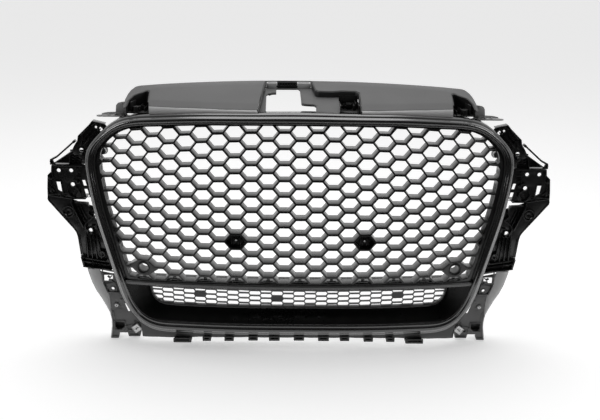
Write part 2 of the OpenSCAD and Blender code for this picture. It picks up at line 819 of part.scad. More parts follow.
// ---------- what is shown ----------
surround_ring();
carrier_frame();
honeycomb_insert();
insert_shelf();
cross_bar();
intake_floor();
intake_back_panel();
intake_side_left();
intake_side_right();
lower_mesh();
bottom_skirt();
bottom_clip_1();
bottom_clip_2();
bottom_clip_3();
bottom_clip_4();
bottom_clip_5();
bottom_clip_6();
bottom_clip_7();
bottom_clip_8();
bottom_clip_9();
bottom_clip_10();
bottom_clip_11();
top_cover();
cover_lip_left();
cover_lip_right();
lock_recess_frame();
lock_recess_floor();
latch_bridge();
catch_pocket();
cover_pocket_left();
cover_pocket_right();
end_tab_left();
end_tab_right();
flange_plate_left();
flange_plate_right();
upper_arm_left();
upper_arm_right();
wing_strut_left();
wing_strut_right();
box_bracket_left();
box_bracket_right();
wing_blade_left();
wing_blade_right();
wing_panel_left();
wing_panel_right();
corner_bracket_left();
corner_bracket_right();
sensor_socket_left();
sensor_socket_right();
spring_nut_left();
spring_nut_right();
plate_plug_left();
plate_plug_right();
peg_left();
peg_right();
panel_screw_left();
panel_screw_right();
corner_screw_left();
corner_screw_right();
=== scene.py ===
"""Visual model of a bowed car front grille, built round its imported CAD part.

Every piece is drawn in millimetres in a flat or swept form, then mapped onto the grille's
bowed front face and into the row frame, which is in metres.
"""

import logging
import math
from dataclasses import dataclass, field
from enum import Enum
from typing import Callable, Iterable, Sequence

import bpy
import numpy as np
from mathutils import Matrix, Vector


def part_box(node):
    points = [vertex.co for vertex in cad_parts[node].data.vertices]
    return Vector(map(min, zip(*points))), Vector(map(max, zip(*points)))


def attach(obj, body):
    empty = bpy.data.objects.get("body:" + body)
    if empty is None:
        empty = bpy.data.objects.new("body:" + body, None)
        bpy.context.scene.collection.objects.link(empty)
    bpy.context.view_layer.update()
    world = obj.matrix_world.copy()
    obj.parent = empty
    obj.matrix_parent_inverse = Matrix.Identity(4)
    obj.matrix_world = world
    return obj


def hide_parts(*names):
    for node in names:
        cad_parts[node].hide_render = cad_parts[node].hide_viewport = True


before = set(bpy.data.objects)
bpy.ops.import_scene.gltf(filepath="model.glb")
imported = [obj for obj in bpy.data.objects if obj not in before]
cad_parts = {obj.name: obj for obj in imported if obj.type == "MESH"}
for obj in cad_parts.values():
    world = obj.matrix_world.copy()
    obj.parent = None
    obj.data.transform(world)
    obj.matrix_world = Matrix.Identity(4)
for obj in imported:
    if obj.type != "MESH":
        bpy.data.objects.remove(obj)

Line = list[tuple[float, float]]
Mapping = Callable[[np.ndarray], np.ndarray]

log = logging.getLogger("grille")
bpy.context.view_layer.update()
MM = 0.001


class Side(Enum):
    """The two sides of the car, with the sign of X on each."""

    LEFT = -1
    RIGHT = 1

    @property
    def suffix(self) -> str:
        """Returns:
        The ending that this side's CAD nodes carry in their names.
        """
        return self.name.lower()


# ---------------------------------------------------------------- the form of the grille
@dataclass(frozen=True)
class FaceForm:
    """The bowed front face that all front pieces follow, in millimetres."""

    bow_radius: float = 1100.0
    lean_radius: float = 660.0
    lean_centre: float = 245.0
    depth_centre: float = 102.2
    droop_low: float = 11.5
    droop_rate: float = 0.03
    droop_z: float = 199.0
    droop_x: float = 320.0

    def lean(self, z: np.ndarray | float) -> np.ndarray | float:
        """Finds how far the face falls back from its foremost height.

        Args:
            z: height or heights.

        Returns:
            The fall-back at each height.
        """
        return self.lean_radius - np.sqrt(self.lean_radius**2 - (z - self.lean_centre) ** 2)

    def depth(self, x: np.ndarray | float, z: np.ndarray | float) -> np.ndarray | float:
        """Finds the depth of the face.

        Args:
            x: distance across the car from the centre line.
            z: height.

        Returns:
            Depth measured to the rear from the face's foremost point.
        """
        return self.bow_radius - np.sqrt((self.bow_radius - self.lean(z)) ** 2 - np.square(x))

    def droop(self, x: np.ndarray | float, z: np.ndarray | float) -> np.ndarray | float:
        """Finds how far a row of cells drops below its height on the centre line.

        Args:
            x: distance across the car.
            z: height of the row on the centre line.

        Returns:
            The drop.
        """
        return (self.droop_low + self.droop_rate * (z - self.droop_z)) * np.square(x / self.droop_x)

    def on_face(self, points: np.ndarray) -> np.ndarray:
        """Lays flat points (x, depth behind the face, z) onto the bowed face.

        Args:
            points: an array of points, one a row.

        Returns:
            The points in the row frame, in metres.
        """
        out = points.astype(float).copy()
        out[:, 1] += self.depth(points[:, 0], points[:, 2]) - self.depth_centre
        return out * MM

    def straight(self, points: np.ndarray) -> np.ndarray:
        """Moves points whose y is already a true depth into the row frame.

        Args:
            points: an array of points, one a row.

        Returns:
            The points in the row frame, in metres.
        """
        out = points.astype(float).copy()
        out[:, 1] -= self.depth_centre
        return out * MM


FACE = FaceForm()


def node_box(node: str) -> tuple[np.ndarray, np.ndarray]:
    """Reads where a CAD node lies, on the drawings' own scale.

    Args:
        node: the node's name.

    Returns:
        The low and the high corner in millimetres, with depth counted from the front.
    """
    low, high = (np.array(corner, float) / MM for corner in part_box(node))
    shift = np.array([0.0, FACE.depth_centre, 0.0])
    return low + shift, high + shift


def mirrored(half: Sequence[tuple[float, float]]) -> Line:
    """Closes a half outline by its mirror image.

    Args:
        half: points with x at or above zero, from one end of the centre line to the other.

    Returns:
        The closed outline.
    """
    return list(half) + [(-x, z) for x, z in reversed(half) if x > 0.01]


def catmull(points: np.ndarray, per_span: int, closed: bool) -> np.ndarray:
    """Draws a smooth line through points.

    Args:
        points: the points, one a row, of any number of columns.
        per_span: how many points each span gets.
        closed: whether the line joins its own start.

    Returns:
        The smooth line's points.
    """
    count = len(points)
    spans = count if closed else count - 1
    out = []
    for i in range(spans):
        if closed:
            p0, p1, p2, p3 = (points[(i + k) % count] for k in (-1, 0, 1, 2))
        else:
            p0, p1, p2, p3 = (points[min(max(i + k, 0), count - 1)] for k in (-1, 0, 1, 2))
        for t in np.arange(per_span) / per_span:
            a, b, c = 2 * p1, p2 - p0, 2 * p0 - 5 * p1 + 4 * p2 - p3
            out.append(0.5 * (a + b * t + c * t**2 + (3 * p1 - p0 - 3 * p2 + p3) * t**3))
    if not closed:
        out.append(points[-1])
    return np.array(out)


def even_steps(line: np.ndarray, count: int, closed: bool, leading: int = 2) -> np.ndarray:
    """Resamples a line at even steps along its length.

    Args:
        line: points, one a row.
        count: how many points are wanted.
        closed: whether the line joins its own start.
        leading: how many first columns measure the length.

    Returns:
        The resampled line.
    """
    full = np.vstack([line, line[:1]]) if closed else line
    run = np.concatenate([[0], np.cumsum(np.linalg.norm(np.diff(full[:, :leading], axis=0), axis=1))])
    at = np.linspace(0, run[-1], count, endpoint=not closed)
    return np.stack([np.interp(at, run, full[:, k]) for k in range(full.shape[1])], axis=1)


def soften(line: np.ndarray, spread: float, closed: bool) -> np.ndarray:
    """Takes small waves out of an evenly stepped line.

    Args:
        line: points, one a row.
        spread: width of the smoothing, in steps.
        closed: whether the line joins its own start.

    Returns:
        The smoothed line.
    """
    reach = int(spread * 3) + 1
    weights = np.exp(-0.5 * (np.arange(-reach, reach + 1) / spread) ** 2)
    weights /= weights.sum()
    pad = np.pad(line, ((reach, reach), (0, 0)), mode="wrap" if closed else "reflect",
                 **({} if closed else {"reflect_type": "odd"}))
    return np.stack([np.convolve(pad[:, k], weights, mode="valid") for k in range(line.shape[1])], axis=1)


def clipped(subject: Line, window: Line) -> Line:
    """Cuts an outline to the inside of a convex window.

    Args:
        subject: the outline.
        window: the convex window, anticlockwise.

    Returns:
        The part of the outline inside the window, with no very short edges.
    """
    out = list(subject)
    for (ax, az), (bx, bz) in zip(window, window[1:] + window[:1]):
        ring, out = out, []
        side = [(bx - ax) * (z - az) - (bz - az) * (x - ax) for x, z in ring]
        for i, (p, d) in enumerate(zip(ring, side)):
            q, e = ring[(i + 1) % len(ring)], side[(i + 1) % len(ring)]
            if d >= 0:
                out.append(p)
            if (d >= 0) != (e >= 0):
                t = d / (d - e)
                out.append((p[0] + (q[0] - p[0]) * t, p[1] + (q[1] - p[1]) * t))
        if len(out) < 3:
            return []
    kept: Line = []
    for p in out:
        if not kept or math.dist(p, kept[-1]) > 1.6:
            kept.append(p)
    while len(kept) > 2 and math.dist(kept[0], kept[-1]) <= 1.6:
        kept.pop()
    area = 0.5 * sum(p[0] * q[1] - q[0] * p[1] for p, q in zip(kept, kept[1:] + kept[:1]))
    return kept if len(kept) > 2 and abs(area) > 12 else []


def wall_outline(points: Line, width: float) -> Line:
    """Draws the outline of a wall of even width along a line, with mitred corners.

    Args:
        points: the line.
        width: the wall's thickness.

    Returns:
        The closed outline.
    """
    path = np.array(points, float)
    runs = np.diff(path, axis=0)
    normals = np.stack([-runs[:, 1], runs[:, 0]], axis=1) / np.linalg.norm(runs, axis=1)[:, None]
    before, after = np.vstack([normals[:1], normals]), np.vstack([normals, normals[-1:]])
    shift = (before + after) / (1 + (before * after).sum(1))[:, None] * width / 2
    return [tuple(p) for p in path + shift] + [tuple(p) for p in (path - shift)[::-1]]


def circle(x: float, z: float, radius: float, count: int = 28) -> Line:
    """Draws a circle.

    Args:
        x: centre.
        z: centre.
        radius: radius.
        count: number of points.

    Returns:
        The circle's points.
    """
    turns = (2 * math.pi * i / count for i in range(count))
    return [(x + radius * math.cos(a), z + radius * math.sin(a)) for a in turns]


def rounded(points: Line, radius: float, steps: int = 4) -> Line:
    """Rounds the corners of a closed outline.

    Args:
        points: the outline.
        radius: how far from each corner the rounding starts, at most.
        steps: spans in each rounded corner.

    Returns:
        The rounded outline.
    """
    out: Line = []
    count = len(points)
    for i in range(count):
        p, q, r = (np.array(points[(i + k) % count], float) for k in (-1, 0, 1))
        reach = min(radius, 0.45 * math.dist(p, q), 0.45 * math.dist(q, r))
        a = q + (p - q) / max(math.dist(p, q), 1e-6) * reach
        b = q + (r - q) / max(math.dist(q, r), 1e-6) * reach
        for t in np.linspace(0, 1, steps + 1):
            out.append(tuple((1 - t) ** 2 * a + 2 * t * (1 - t) * q + t**2 * b))
    return out


# ---------------------------------------------------------------- Blender tools
def activate(obj: bpy.types.Object) -> None:
    """Makes one object the only selected and active one.

    Args:
        obj: the object.
    """
    bpy.ops.object.select_all(action="DESELECT")
    obj.select_set(True)
    bpy.context.view_layer.objects.active = obj


def drawn_lines(name: str, loops: Iterable[Line]) -> bpy.types.Object:
    """Draws closed lines in the x, z plane as the start of a plate.

    Args:
        name: the new object's name.
        loops: the closed lines.

    Returns:
        An object with edges only.
    """
    verts: list[tuple[float, float, float]] = []
    edges: list[tuple[int, int]] = []
    for loop in loops:
        start = len(verts)
        verts += [(x, 0.0, z) for x, z in loop]
        edges += [(start + i, start + (i + 1) % len(loop)) for i in range(len(loop))]
    mesh = bpy.data.meshes.new(name)
    mesh.from_pydata(verts, edges, [])
    obj = bpy.data.objects.new(name, mesh)
    bpy.context.scene.collection.objects.link(obj)
    return obj


def plate(name: str, outline: Line, holes: Sequence[Line], depth: float, rounding: float,
          start: float = 0.0, segments: int = 2) -> bpy.types.Object:
    """Fills an outline with holes, extrudes it along y and rounds its edges.

    Args:
        name: the new object's name.
        outline: the outer line.
        holes: lines of the holes.
        depth: thickness along y.
        rounding: width of the rounded edges.
        start: y of the front face.
        segments: spans across each rounded edge.

    Returns:
        The plate, in millimetres.
    """
    obj = drawn_lines(name, [outline, *holes])
    activate(obj)
    bpy.ops.object.mode_set(mode="EDIT")
    bpy.ops.mesh.select_all(action="SELECT")
    bpy.ops.mesh.fill(use_beauty=True)
    bpy.ops.mesh.select_all(action="SELECT")
    bpy.ops.mesh.extrude_region_move(TRANSFORM_OT_translate={"value": (0, depth, 0)})
    bpy.ops.mesh.select_all(action="SELECT")
    bpy.ops.transform.translate(value=(0, start, 0))
    bpy.ops.mesh.normals_make_consistent(inside=False)
    if rounding > 0:
        bpy.ops.mesh.select_mode(type="EDGE")
        bpy.ops.mesh.select_all(action="DESELECT")
        bpy.ops.mesh.edges_select_sharp(sharpness=math.radians(28))
        bpy.ops.mesh.bevel(offset=rounding, segments=segments, affect="EDGES", clamp_overlap=False)
        bpy.ops.mesh.select_mode(type="VERT")
    bpy.ops.object.mode_set(mode="OBJECT")
    return obj


def sliced(obj: bpy.types.Object, axis: int, step: float) -> bpy.types.Object:
    """Cuts a piece along even planes, so that it can follow a curved form.

    Args:
        obj: the piece, in millimetres.
        axis: 0, 1 or 2, the axis that the planes stand across.
        step: distance between the planes.

    Returns:
        The same piece.
    """
    values = [v.co[axis] for v in obj.data.vertices]
    low, high = min(values), max(values)
    normal = [0.0, 0.0, 0.0]
    normal[axis] = 1.0
    activate(obj)
    bpy.ops.object.mode_set(mode="EDIT")
    for i in range(math.ceil(low / step), math.floor(high / step) + 1):
        at = [0.0, 0.0, 0.0]
        at[axis] = i * step + 0.013
        bpy.ops.mesh.select_all(action="SELECT")
        bpy.ops.mesh.bisect(plane_co=at, plane_no=normal)
    bpy.ops.object.mode_set(mode="OBJECT")
    return obj


def mapped(obj: bpy.types.Object, rule: Mapping) -> bpy.types.Object:
    """Moves every vertex of a piece by one rule.

    Args:
        obj: the piece.
        rule: gives the new points for an array of points.

    Returns:
        The same piece.
    """
    count = len(obj.data.vertices)
    co = np.empty(count * 3)
    obj.data.vertices.foreach_get("co", co)
    obj.data.vertices.foreach_set("co", rule(co.reshape(-1, 3)).ravel())
    obj.data.update()
    return obj


def lofted(name: str, grid: np.ndarray, close_rows: bool, close_cols: bool) -> bpy.types.Object:
    """Lays a grid primitive over a table of points and welds the seams.

    Args:
        name: the new object's name.
        grid: points as an array of rows, columns and x, y, z.
        close_rows: whether the last row meets the first.
        close_cols: whether the last column meets the first.

    Returns:
        The piece.
    """
    if close_rows:
        grid = np.concatenate([grid, grid[:1]], axis=0)
    if close_cols:
        grid = np.concatenate([grid, grid[:, :1]], axis=1)
    rows, cols = grid.shape[:2]
    bpy.ops.object.select_all(action="DESELECT")
    bpy.ops.mesh.primitive_grid_add(x_subdivisions=cols - 1, y_subdivisions=rows - 1, size=1)
    obj = bpy.context.active_object
    obj.name = obj.data.name = name
    obj.data.vertices.foreach_set("co", grid.reshape(-1, 3).astype(float).ravel())
    bpy.ops.object.mode_set(mode="EDIT")
    bpy.ops.mesh.select_all(action="SELECT")
    bpy.ops.mesh.remove_doubles(threshold=1e-4)
    bpy.ops.mesh.normals_make_consistent(inside=False)
    bpy.ops.object.mode_set(mode="OBJECT")
    return obj


def turned(name: str, profile: Line, at: tuple[float, float, float], count: int = 40) -> bpy.types.Object:
    """Turns a closed profile of (radius, depth) round an axis along y.

    Args:
        name: the new object's name.
        profile: the closed profile.
        at: x, y and z of the axis start.
        count: spans round the axis.

    Returns:
        The turned piece, in millimetres.
    """
    turns = 2 * np.pi * np.arange(count) / count
    rows = [[(at[0] + r * math.cos(a), at[1] + y, at[2] + r * math.sin(a)) for a in turns] for r,
            y in profile]
    return lofted(name, np.array(rows), close_rows=True, close_cols=True)


def joined(name: str, pieces: Sequence[bpy.types.Object]) -> bpy.types.Object:
    """Joins pieces into one object.

    Args:
        name: the object's new name.
        pieces: the pieces.

    Returns:
        The joined object.
    """
    activate(pieces[0])
    for piece in pieces:
        piece.select_set(True)
    if len(pieces) > 1:
        bpy.ops.object.join()
    obj = bpy.context.view_layer.objects.active
    obj.name = obj.data.name = name
    return obj


def flipped(obj: bpy.types.Object) -> bpy.types.Object:
    """Mirrors a piece across the centre line.

    Args:
        obj: the piece.

    Returns:
        The same piece, mirrored, with its faces turned outward again.
    """
    mapped(obj, lambda p: p * np.array([-1.0, 1.0, 1.0]))
    activate(obj)
    bpy.ops.object.mode_set(mode="EDIT")
    bpy.ops.mesh.select_all(action="SELECT")
    bpy.ops.mesh.flip_normals()
    bpy.ops.object.mode_set(mode="OBJECT")
    return obj


# ---------------------------------------------------------------- finishes
@dataclass(frozen=True)
class Finish:
    """One procedural finish and the material slot it stands for."""

    name: str
    slot: str
    base: float
    tint: float = 0.0
    roughness: float = 0.4
    spread: float = 0.08
    grain: float = 0.0
    grain_size: float = 900.0
    metallic: float = 0.0
    coat: float = 0.0
    mottling: float = 0.12
    specular: float = 0.5

    def material(self) -> bpy.types.Material:
        """Builds the material once and reuses it.

        Returns:
            The material.
        """
        found = bpy.data.materials.get(self.name)
        if found:
            return found
        mat = bpy.data.materials.new(self.name)
        mat.use_nodes = True
        tree = mat.node_tree
        shader = tree.nodes["Principled BSDF"]
        place = tree.nodes.new("ShaderNodeTexCoord").outputs["Object"]
        cloud = self._noise(tree, place, 9.0, 4.0)
        fine = self._noise(tree, place, 140.0, 3.0)
        blend = tree.nodes.new("ShaderNodeMath")
        blend.operation = "MULTIPLY_ADD"
        tree.links.new(cloud, blend.inputs[0])
        blend.inputs[1].default_value = 0.7
        share = tree.nodes.new("ShaderNodeMath")
        share.operation = "MULTIPLY"
        tree.links.new(fine, share.inputs[0])
        share.inputs[1].default_value = 0.3
        tree.links.new(share.outputs[0], blend.inputs[2])
        ramp = tree.nodes.new("ShaderNodeValToRGB")
        low, high = self.base * (1 - self.mottling), self.base * (1 + self.mottling)
        ramp.color_ramp.elements[0].position, ramp.color_ramp.elements[1].position = 0.36, 0.64
        ramp.color_ramp.elements[0].color = (low, low, low * (1 + self.tint), 1)
        ramp.color_ramp.elements[1].color = (high, high, high * (1 + self.tint), 1)
        tree.links.new(blend.outputs[0], ramp.inputs[0])
        tree.links.new(ramp.outputs[0], shader.inputs["Base Color"])
        rough = tree.nodes.new("ShaderNodeMapRange")
        rough.inputs["From Min"].default_value, rough.inputs["From Max"].default_value = 0.35, 0.65
        rough.inputs["To Min"].default_value = max(self.roughness - self.spread, 0.02)
        rough.inputs["To Max"].default_value = self.roughness + self.spread
        tree.links.new(blend.outputs[0], rough.inputs["Value"])
        tree.links.new(rough.outputs[0], shader.inputs["Roughness"])
        shader.inputs["Metallic"].default_value = self.metallic
        shader.inputs["Specular IOR Level"].default_value = self.specular
        shader.inputs["Coat Weight"].default_value = self.coat
        shader.inputs["Coat Roughness"].default_value = 0.04
        if self.grain > 0:
            grains = self._noise(tree, place, self.grain_size, 2.0)
            bump = tree.nodes.new("ShaderNodeBump")
            bump.inputs["Strength"].default_value = self.grain
            bump.inputs["Distance"].default_value = 0.0004
            tree.links.new(grains, bump.inputs["Height"])
            tree.links.new(bump.outputs[0], shader.inputs["Normal"])
        return mat

    @staticmethod
    def _noise(tree: bpy.types.NodeTree, place: bpy.types.NodeSocket, scale: float,
               detail: float) -> bpy.types.NodeSocket:
        """Adds a noise texture.

        Args:
            tree: the material's node tree.
            place: the coordinates it reads.
            scale: its scale.
            detail: its detail.

        Returns:
            The noise value's socket.
        """
        node = tree.nodes.new("ShaderNodeTexNoise")
        node.inputs["Scale"].default_value = scale
        node.inputs["Detail"].default_value = detail
        tree.links.new(place, node.inputs["Vector"])
        return node.outputs[0]


GLOSS = Finish("gloss_black", "gloss_black_plastic", 0.012, roughness=0.13, spread=0.03, grain=0.02,
               grain_size=60, coat=1.0,
               specular=0.9)
# Gloss black plastic given a lighter base than the ring's. This is a painted sheen standing for the light the
# cross bar's face reflects.
BAR_PAINTED_SHEEN = Finish("bar_black", "gloss_black_plastic", 0.05, roughness=0.2, spread=0.05, grain=0.04, coat=0.5)
INTAKE = Finish("intake_black", "gloss_black_plastic", 0.006, roughness=0.3, spread=0.06, grain=0.05,
                grain_size=300, specular=0.3)
SATIN = Finish("satin_black", "satin_black_plastic", 0.02, roughness=0.34, spread=0.07, grain=0.12)
CELLS = Finish("cell_black", "satin_black_plastic", 0.006, roughness=0.3, spread=0.06, grain=0.06, coat=0.12)
# Satin black plastic lightened to a mid grey. This is painted light on the snap boxes, which sit in shade
# under the honeycomb.
SATIN_PAINTED_LIGHT = Finish("shelf_satin", "satin_black_plastic", 0.16, roughness=0.5, grain=0.15)
DARK = Finish("dark_grained", "dark_plastic", 0.012, roughness=0.3, spread=0.08, grain=0.12, coat=0.2)
COVER = Finish("cover_grey", "grey_plastic", 0.12, roughness=0.56, spread=0.08, grain=0.22, mottling=0.05)
# Grey plastic painted far lighter than the cover. This is a painted highlight on the front-facing lips and
# slot rims, and painted light on the pegs that sit in the ring's shadow.
PAINTED_LIGHT_GREY = Finish("lip_grey", "grey_plastic", 0.75, roughness=0.5, spread=0.08, grain=0.2, mottling=0.05)
CORNER = Finish("corner_grey", "grey_plastic", 0.14, roughness=0.5, spread=0.08, grain=0.2, mottling=0.07)
SKIRT = Finish("skirt_grey", "grey_plastic", 0.045, roughness=0.45, spread=0.08, grain=0.15, mottling=0.08)
CLIP = Finish("clip_satin", "satin_black_plastic", 0.03, roughness=0.26, spread=0.08, grain=0.08)
# Grey plastic painted much lighter than the corner bracket body. This is a painted highlight on the rounded
# flange, and the end tabs and flange plates share it.
FLANGE_PAINTED_LIGHT = Finish("flange_grey", "grey_plastic", 0.5, roughness=0.5, spread=0.08, grain=0.2, mottling=0.06)
ZINC = Finish("zinc_plate", "zinc_steel", 0.62, roughness=0.3, spread=0.1, grain=0.1, metallic=1.0,
              mottling=0.18)


def finished(obj: bpy.types.Object, finish: Finish, nodes: Sequence[str],
             smooth: float = 32) -> bpy.types.Object:
    """Gives a piece its finish, shading and place in the CAD frame.

    Args:
        obj: the piece, in the row frame.
        finish: its finish.
        nodes: CAD nodes that it stands for.
        smooth: angle in degrees under which faces are shaded smooth.

    Returns:
        The same piece.
    """
    obj.data.materials.clear()
    obj.data.materials.append(finish.material())
    activate(obj)
    bpy.ops.object.shade_smooth_by_angle(angle=math.radians(smooth))
    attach(obj, "root")
    if nodes:
        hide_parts(*nodes)
    log.info("%s: %d faces, stands for %s", obj.name, len(obj.data.polygons), ", ".join(nodes) or "detail")
    return obj


# ---------------------------------------------------------------- outlines shared by the pieces
OUTER_HALF: Line = [(0, 504), (100, 502), (200, 499), (298, 492), (336, 488), (355, 484), (372, 478),
                    (386, 469),
                    (398, 459), (412, 446), (425, 432), (435, 420), (441, 406), (442, 394), (440, 380),
                    (434, 350),
                    (423, 297), (403, 230), (384, 162), (372, 114), (361, 87), (345, 61), (322, 40),
                    (293, 32),
                    (200, 37), (0, 44)]
INNER_HALF: Line = [(0, 482), (100, 481), (200, 478), (296, 471), (330, 468), (347, 465), (362, 460),
                    (375, 454),
                    (386, 447), (398, 437), (409, 426), (416, 416), (421, 405), (422, 394), (421, 380),
                    (415, 350),
                    (403, 298), (383, 232), (365, 165), (352, 119), (341, 93), (327, 74.5), (309, 63.5),
                    (284, 60),
                    (200, 65), (0, 71)]


@dataclass(frozen=True)
class RingLines:
    """Smooth outer and inner lines of the surround, stepped together."""

    stations: int = 420
    waviness: float = 2.6

    def both(self) -> np.ndarray:
        """Returns:
        A table of outer x, z and inner x, z at each station, round the ring.
        """
        table = np.hstack([np.array(mirrored(OUTER_HALF), float), np.array(mirrored(INNER_HALF), float)])
        fine = even_steps(catmull(table, 12, closed=True), self.stations, closed=True)
        fine = soften(fine, self.waviness, closed=True)
        flip = fine[::-1] * np.array([-1, 1, -1, 1])
        start = np.argmin(np.linalg.norm(flip - fine[0], axis=1))
        return 0.5 * (fine + np.roll(flip, -start, axis=0))

    def at_share(self, share: float) -> np.ndarray:
        """Finds a line between the outer and the inner one.

        Args:
            share: 0 on the outer line, 1 on the inner line.

        Returns:
            The line's x, z points.
        """
        table = self.both()
        return table[:, :2] + (table[:, 2:] - table[:, :2]) * share


LINES = RingLines()


@dataclass
class SurroundRing:
    """The gloss ring: a rounded outer bead, a raised crest and an inner bead, swept round."""

    name: str = "surround_ring_look"
    section: Line = field(default_factory=lambda: [
        (0.0, 24), (0.0, 10), (0.0, 2.6), (0.012, 0.4), (0.04, -1.3), (0.09, -2.6), (0.15, -3.4),
                                                   (0.22, -4.0), (0.27, -4.3),
        (0.29, -4.7), (0.31, -5.8), (0.34, -7.3), (0.39, -8.7), (0.45, -9.6), (0.52, -9.9), (0.59, -9.5),
                                                   (0.66, -8.6),
        (0.72, -7.4), (0.755, -6.3), (0.775, -5.2), (0.8, -4.8), (0.85, -4.6), (0.9, -4.1), (0.945, -3.2),
        (0.98, -1.6), (0.997, 0.4), (1.0, 2.4), (1.0, 7.5), (0.96, 7.5), (0.9, 2.2), (0.6, 0.6), (0.3, 1.6),
                                                   (0.2, 4.0), (0.19, 24)])

    def build(self) -> bpy.types.Object:
        """Returns:
        The finished ring.
        """
        table = LINES.both()
        rows = []
        for share, depth in self.section:
            flat = table[:, :2] + (table[:, 2:] - table[:, :2]) * share
            rows.append(np.column_stack([flat[:, 0], np.full(len(flat), float(depth)), flat[:, 1]]))
        ring = lofted(self.name, np.array(rows), close_rows=True, close_cols=True)
        return finished(mapped(ring, FACE.on_face), GLOSS, ["surround_ring"], smooth=50)


# ---------------------------------------------------------------- honeycomb
@dataclass
class Honeycomb:
    """The large-celled insert, its sloping rim, the shelf under it and the cross bar."""

    pitch_x: float = 31.9
    pitch_z: float = 30.4
    top_z: float = 466.5
    wall: float = 4.0
    tip_share: float = 0.695
    fan: float = 0.00013
    fan_from: float = 200.0
    columns: int = 13
    rows: int = 11
    front: float = 4.0
    depth: float = 32.0
    bottom_z: float = 165.0
    sensor_cell: tuple[int, int] = (10, 9)
    plug_cell: tuple[int, int] = (4, 7)

    def row_z(self, column: int, row: int) -> float:
        """Finds the height of a cell on the centre line's scale.

        Args:
            column: the cell's column.
            row: the cell's row.

        Returns:
            The height before the rows' droop.
        """
        return self.top_z - self.pitch_z * (row + 0.5 * (column % 2))

    def cell(self, column: int, row: int, wall: float) -> Line:
        """Draws one cell's opening.

        Args:
            column: the cell's column.
            row: the cell's row.
            wall: wall thickness left round it.

        Returns:
            The opening's corners, anticlockwise.
        """
        tip = self.pitch_x * self.tip_share - wall * 0.5
        flat = self.pitch_x * (1 - self.tip_share) - wall * 0.2
        half = (self.pitch_z - wall) / 2
        cx, cz = column * self.pitch_x, self.row_z(column, row)
        corners = [(tip, 0), (flat, half), (-flat, half), (-tip, 0), (-flat, -half), (flat, -half)]
        return [self.fanned(cx + dx, cz + dz) for dx, dz in corners]

    def fanned(self, x: float, z: float) -> tuple[float, float]:
        """Spreads a point sideways with height and lets it droop with its row.

        Args:
            x: distance across on the even grid.
            z: height on the even grid.

        Returns:
            The point's true x and z.
        """
        wide = x * (1 + self.fan * max(z - self.fan_from, 0.0))
        return wide, z - float(FACE.droop(wide, z))

    def centre(self, column: int, row: int) -> tuple[float, float]:
        """Finds a cell's middle.

        Args:
            column: the cell's column.
            row: the cell's row.

        Returns:
            Its x and z.
        """
        return self.fanned(column * self.pitch_x, self.row_z(column, row))

    def field_line(self) -> np.ndarray:
        """Draws the line inside which cells are open, from the lower left up and round to the lower right.

        Returns:
            Its x, z points with the matching points of the ring's inner line.
        """
        inner = LINES.at_share(1.0)
        low = self.bottom_z - FACE.droop(inner[:, 0], self.bottom_z)
        keep = inner[:, 1] > low
        first = int(np.argmax(inner[:, 1]))
        order = np.roll(np.arange(len(inner)), -first)
        inner, keep = inner[order], keep[order]
        cut = int(np.argmin(keep))
        rest = len(keep) - int(np.argmax(keep[cut:])) - cut
        path = np.vstack([inner[len(inner) - rest:], inner[:cut]])
        run = np.gradient(path, axis=0)
        normal = np.stack([run[:, 1], -run[:, 0]], axis=1) / np.linalg.norm(run, axis=1)[:, None]
        if (normal * -path).sum() < 0 and normal[len(path) // 2][1] > 0:
            normal = -normal
        width = 3.0 + 9.5 * normal[:, 0] ** 2
        return np.hstack([path + normal * width[:, None], path])

    def build(self) -> None:
        """Builds the insert, the rim, the shelf, the cross bar and the small fittings in the cells."""
        line = self.field_line()
        steps = np.linspace(line[-1, 0], line[0, 0], 28)
        floor = [(float(x), float(self.bottom_z - FACE.droop(x, self.bottom_z))) for x in steps[1:-1]]
        field_outline = [tuple(p) for p in line[:, :2]] + floor
        sensor = [self.centre(s * self.sensor_cell[0], self.sensor_cell[1]) for s in (-1, 1)]
        diamonds = [[(x + dx, z + dz) for dx, dz in
                     ((30, -1), (10, 16.5), (-9, 17), (-30, 1), (-10, -16.5), (9, -17))] for x, z in sensor]
        holes = []
        for column in range(-self.columns, self.columns + 1):
            for row in range(-1, self.rows):
                if abs(column) == self.sensor_cell[0] and row == self.sensor_cell[1]:
                    continue
                opening = clipped(field_outline, self.cell(column, row, self.wall))
                for diamond in diamonds:
                    if opening and min(math.dist(p, q) for p in opening for q in diamond) < 26:
                        opening = self.outside(opening, diamond)
                if opening:
                    holes.append(opening)
        holes += [circle(x, z, 13.2) for x, z in sensor]
        rim = [tuple(p) for p in LINES.at_share(0.93)
               if p[1] > self.bottom_z - 3 - FACE.droop(p[0], self.bottom_z)]
        top = int(np.argmax([z for _, z in rim]))
        rim = rim[top:] + rim[:top]
        cut = int(np.argmax([abs(rim[i][0] - rim[(i + 1) % len(rim)][0]) for i in range(len(rim))])) + 1
        rim = rim[cut:] + rim[:cut]
        xs = np.linspace(rim[-1][0], rim[0][0], 30)[1:-1]
        rim += [(float(x), float(self.bottom_z - 3 - FACE.droop(x, self.bottom_z))) for x in xs]
        body = plate("honeycomb_look", rim, holes, self.depth, 0.4, self.front)
        finished(mapped(body, FACE.on_face), CELLS, ["honeycomb_insert"], smooth=34)
        self.rim(line)
        self.shelf()
        self.bar()
        for side in Side:
            self.socket(side)
            self.plug(side)

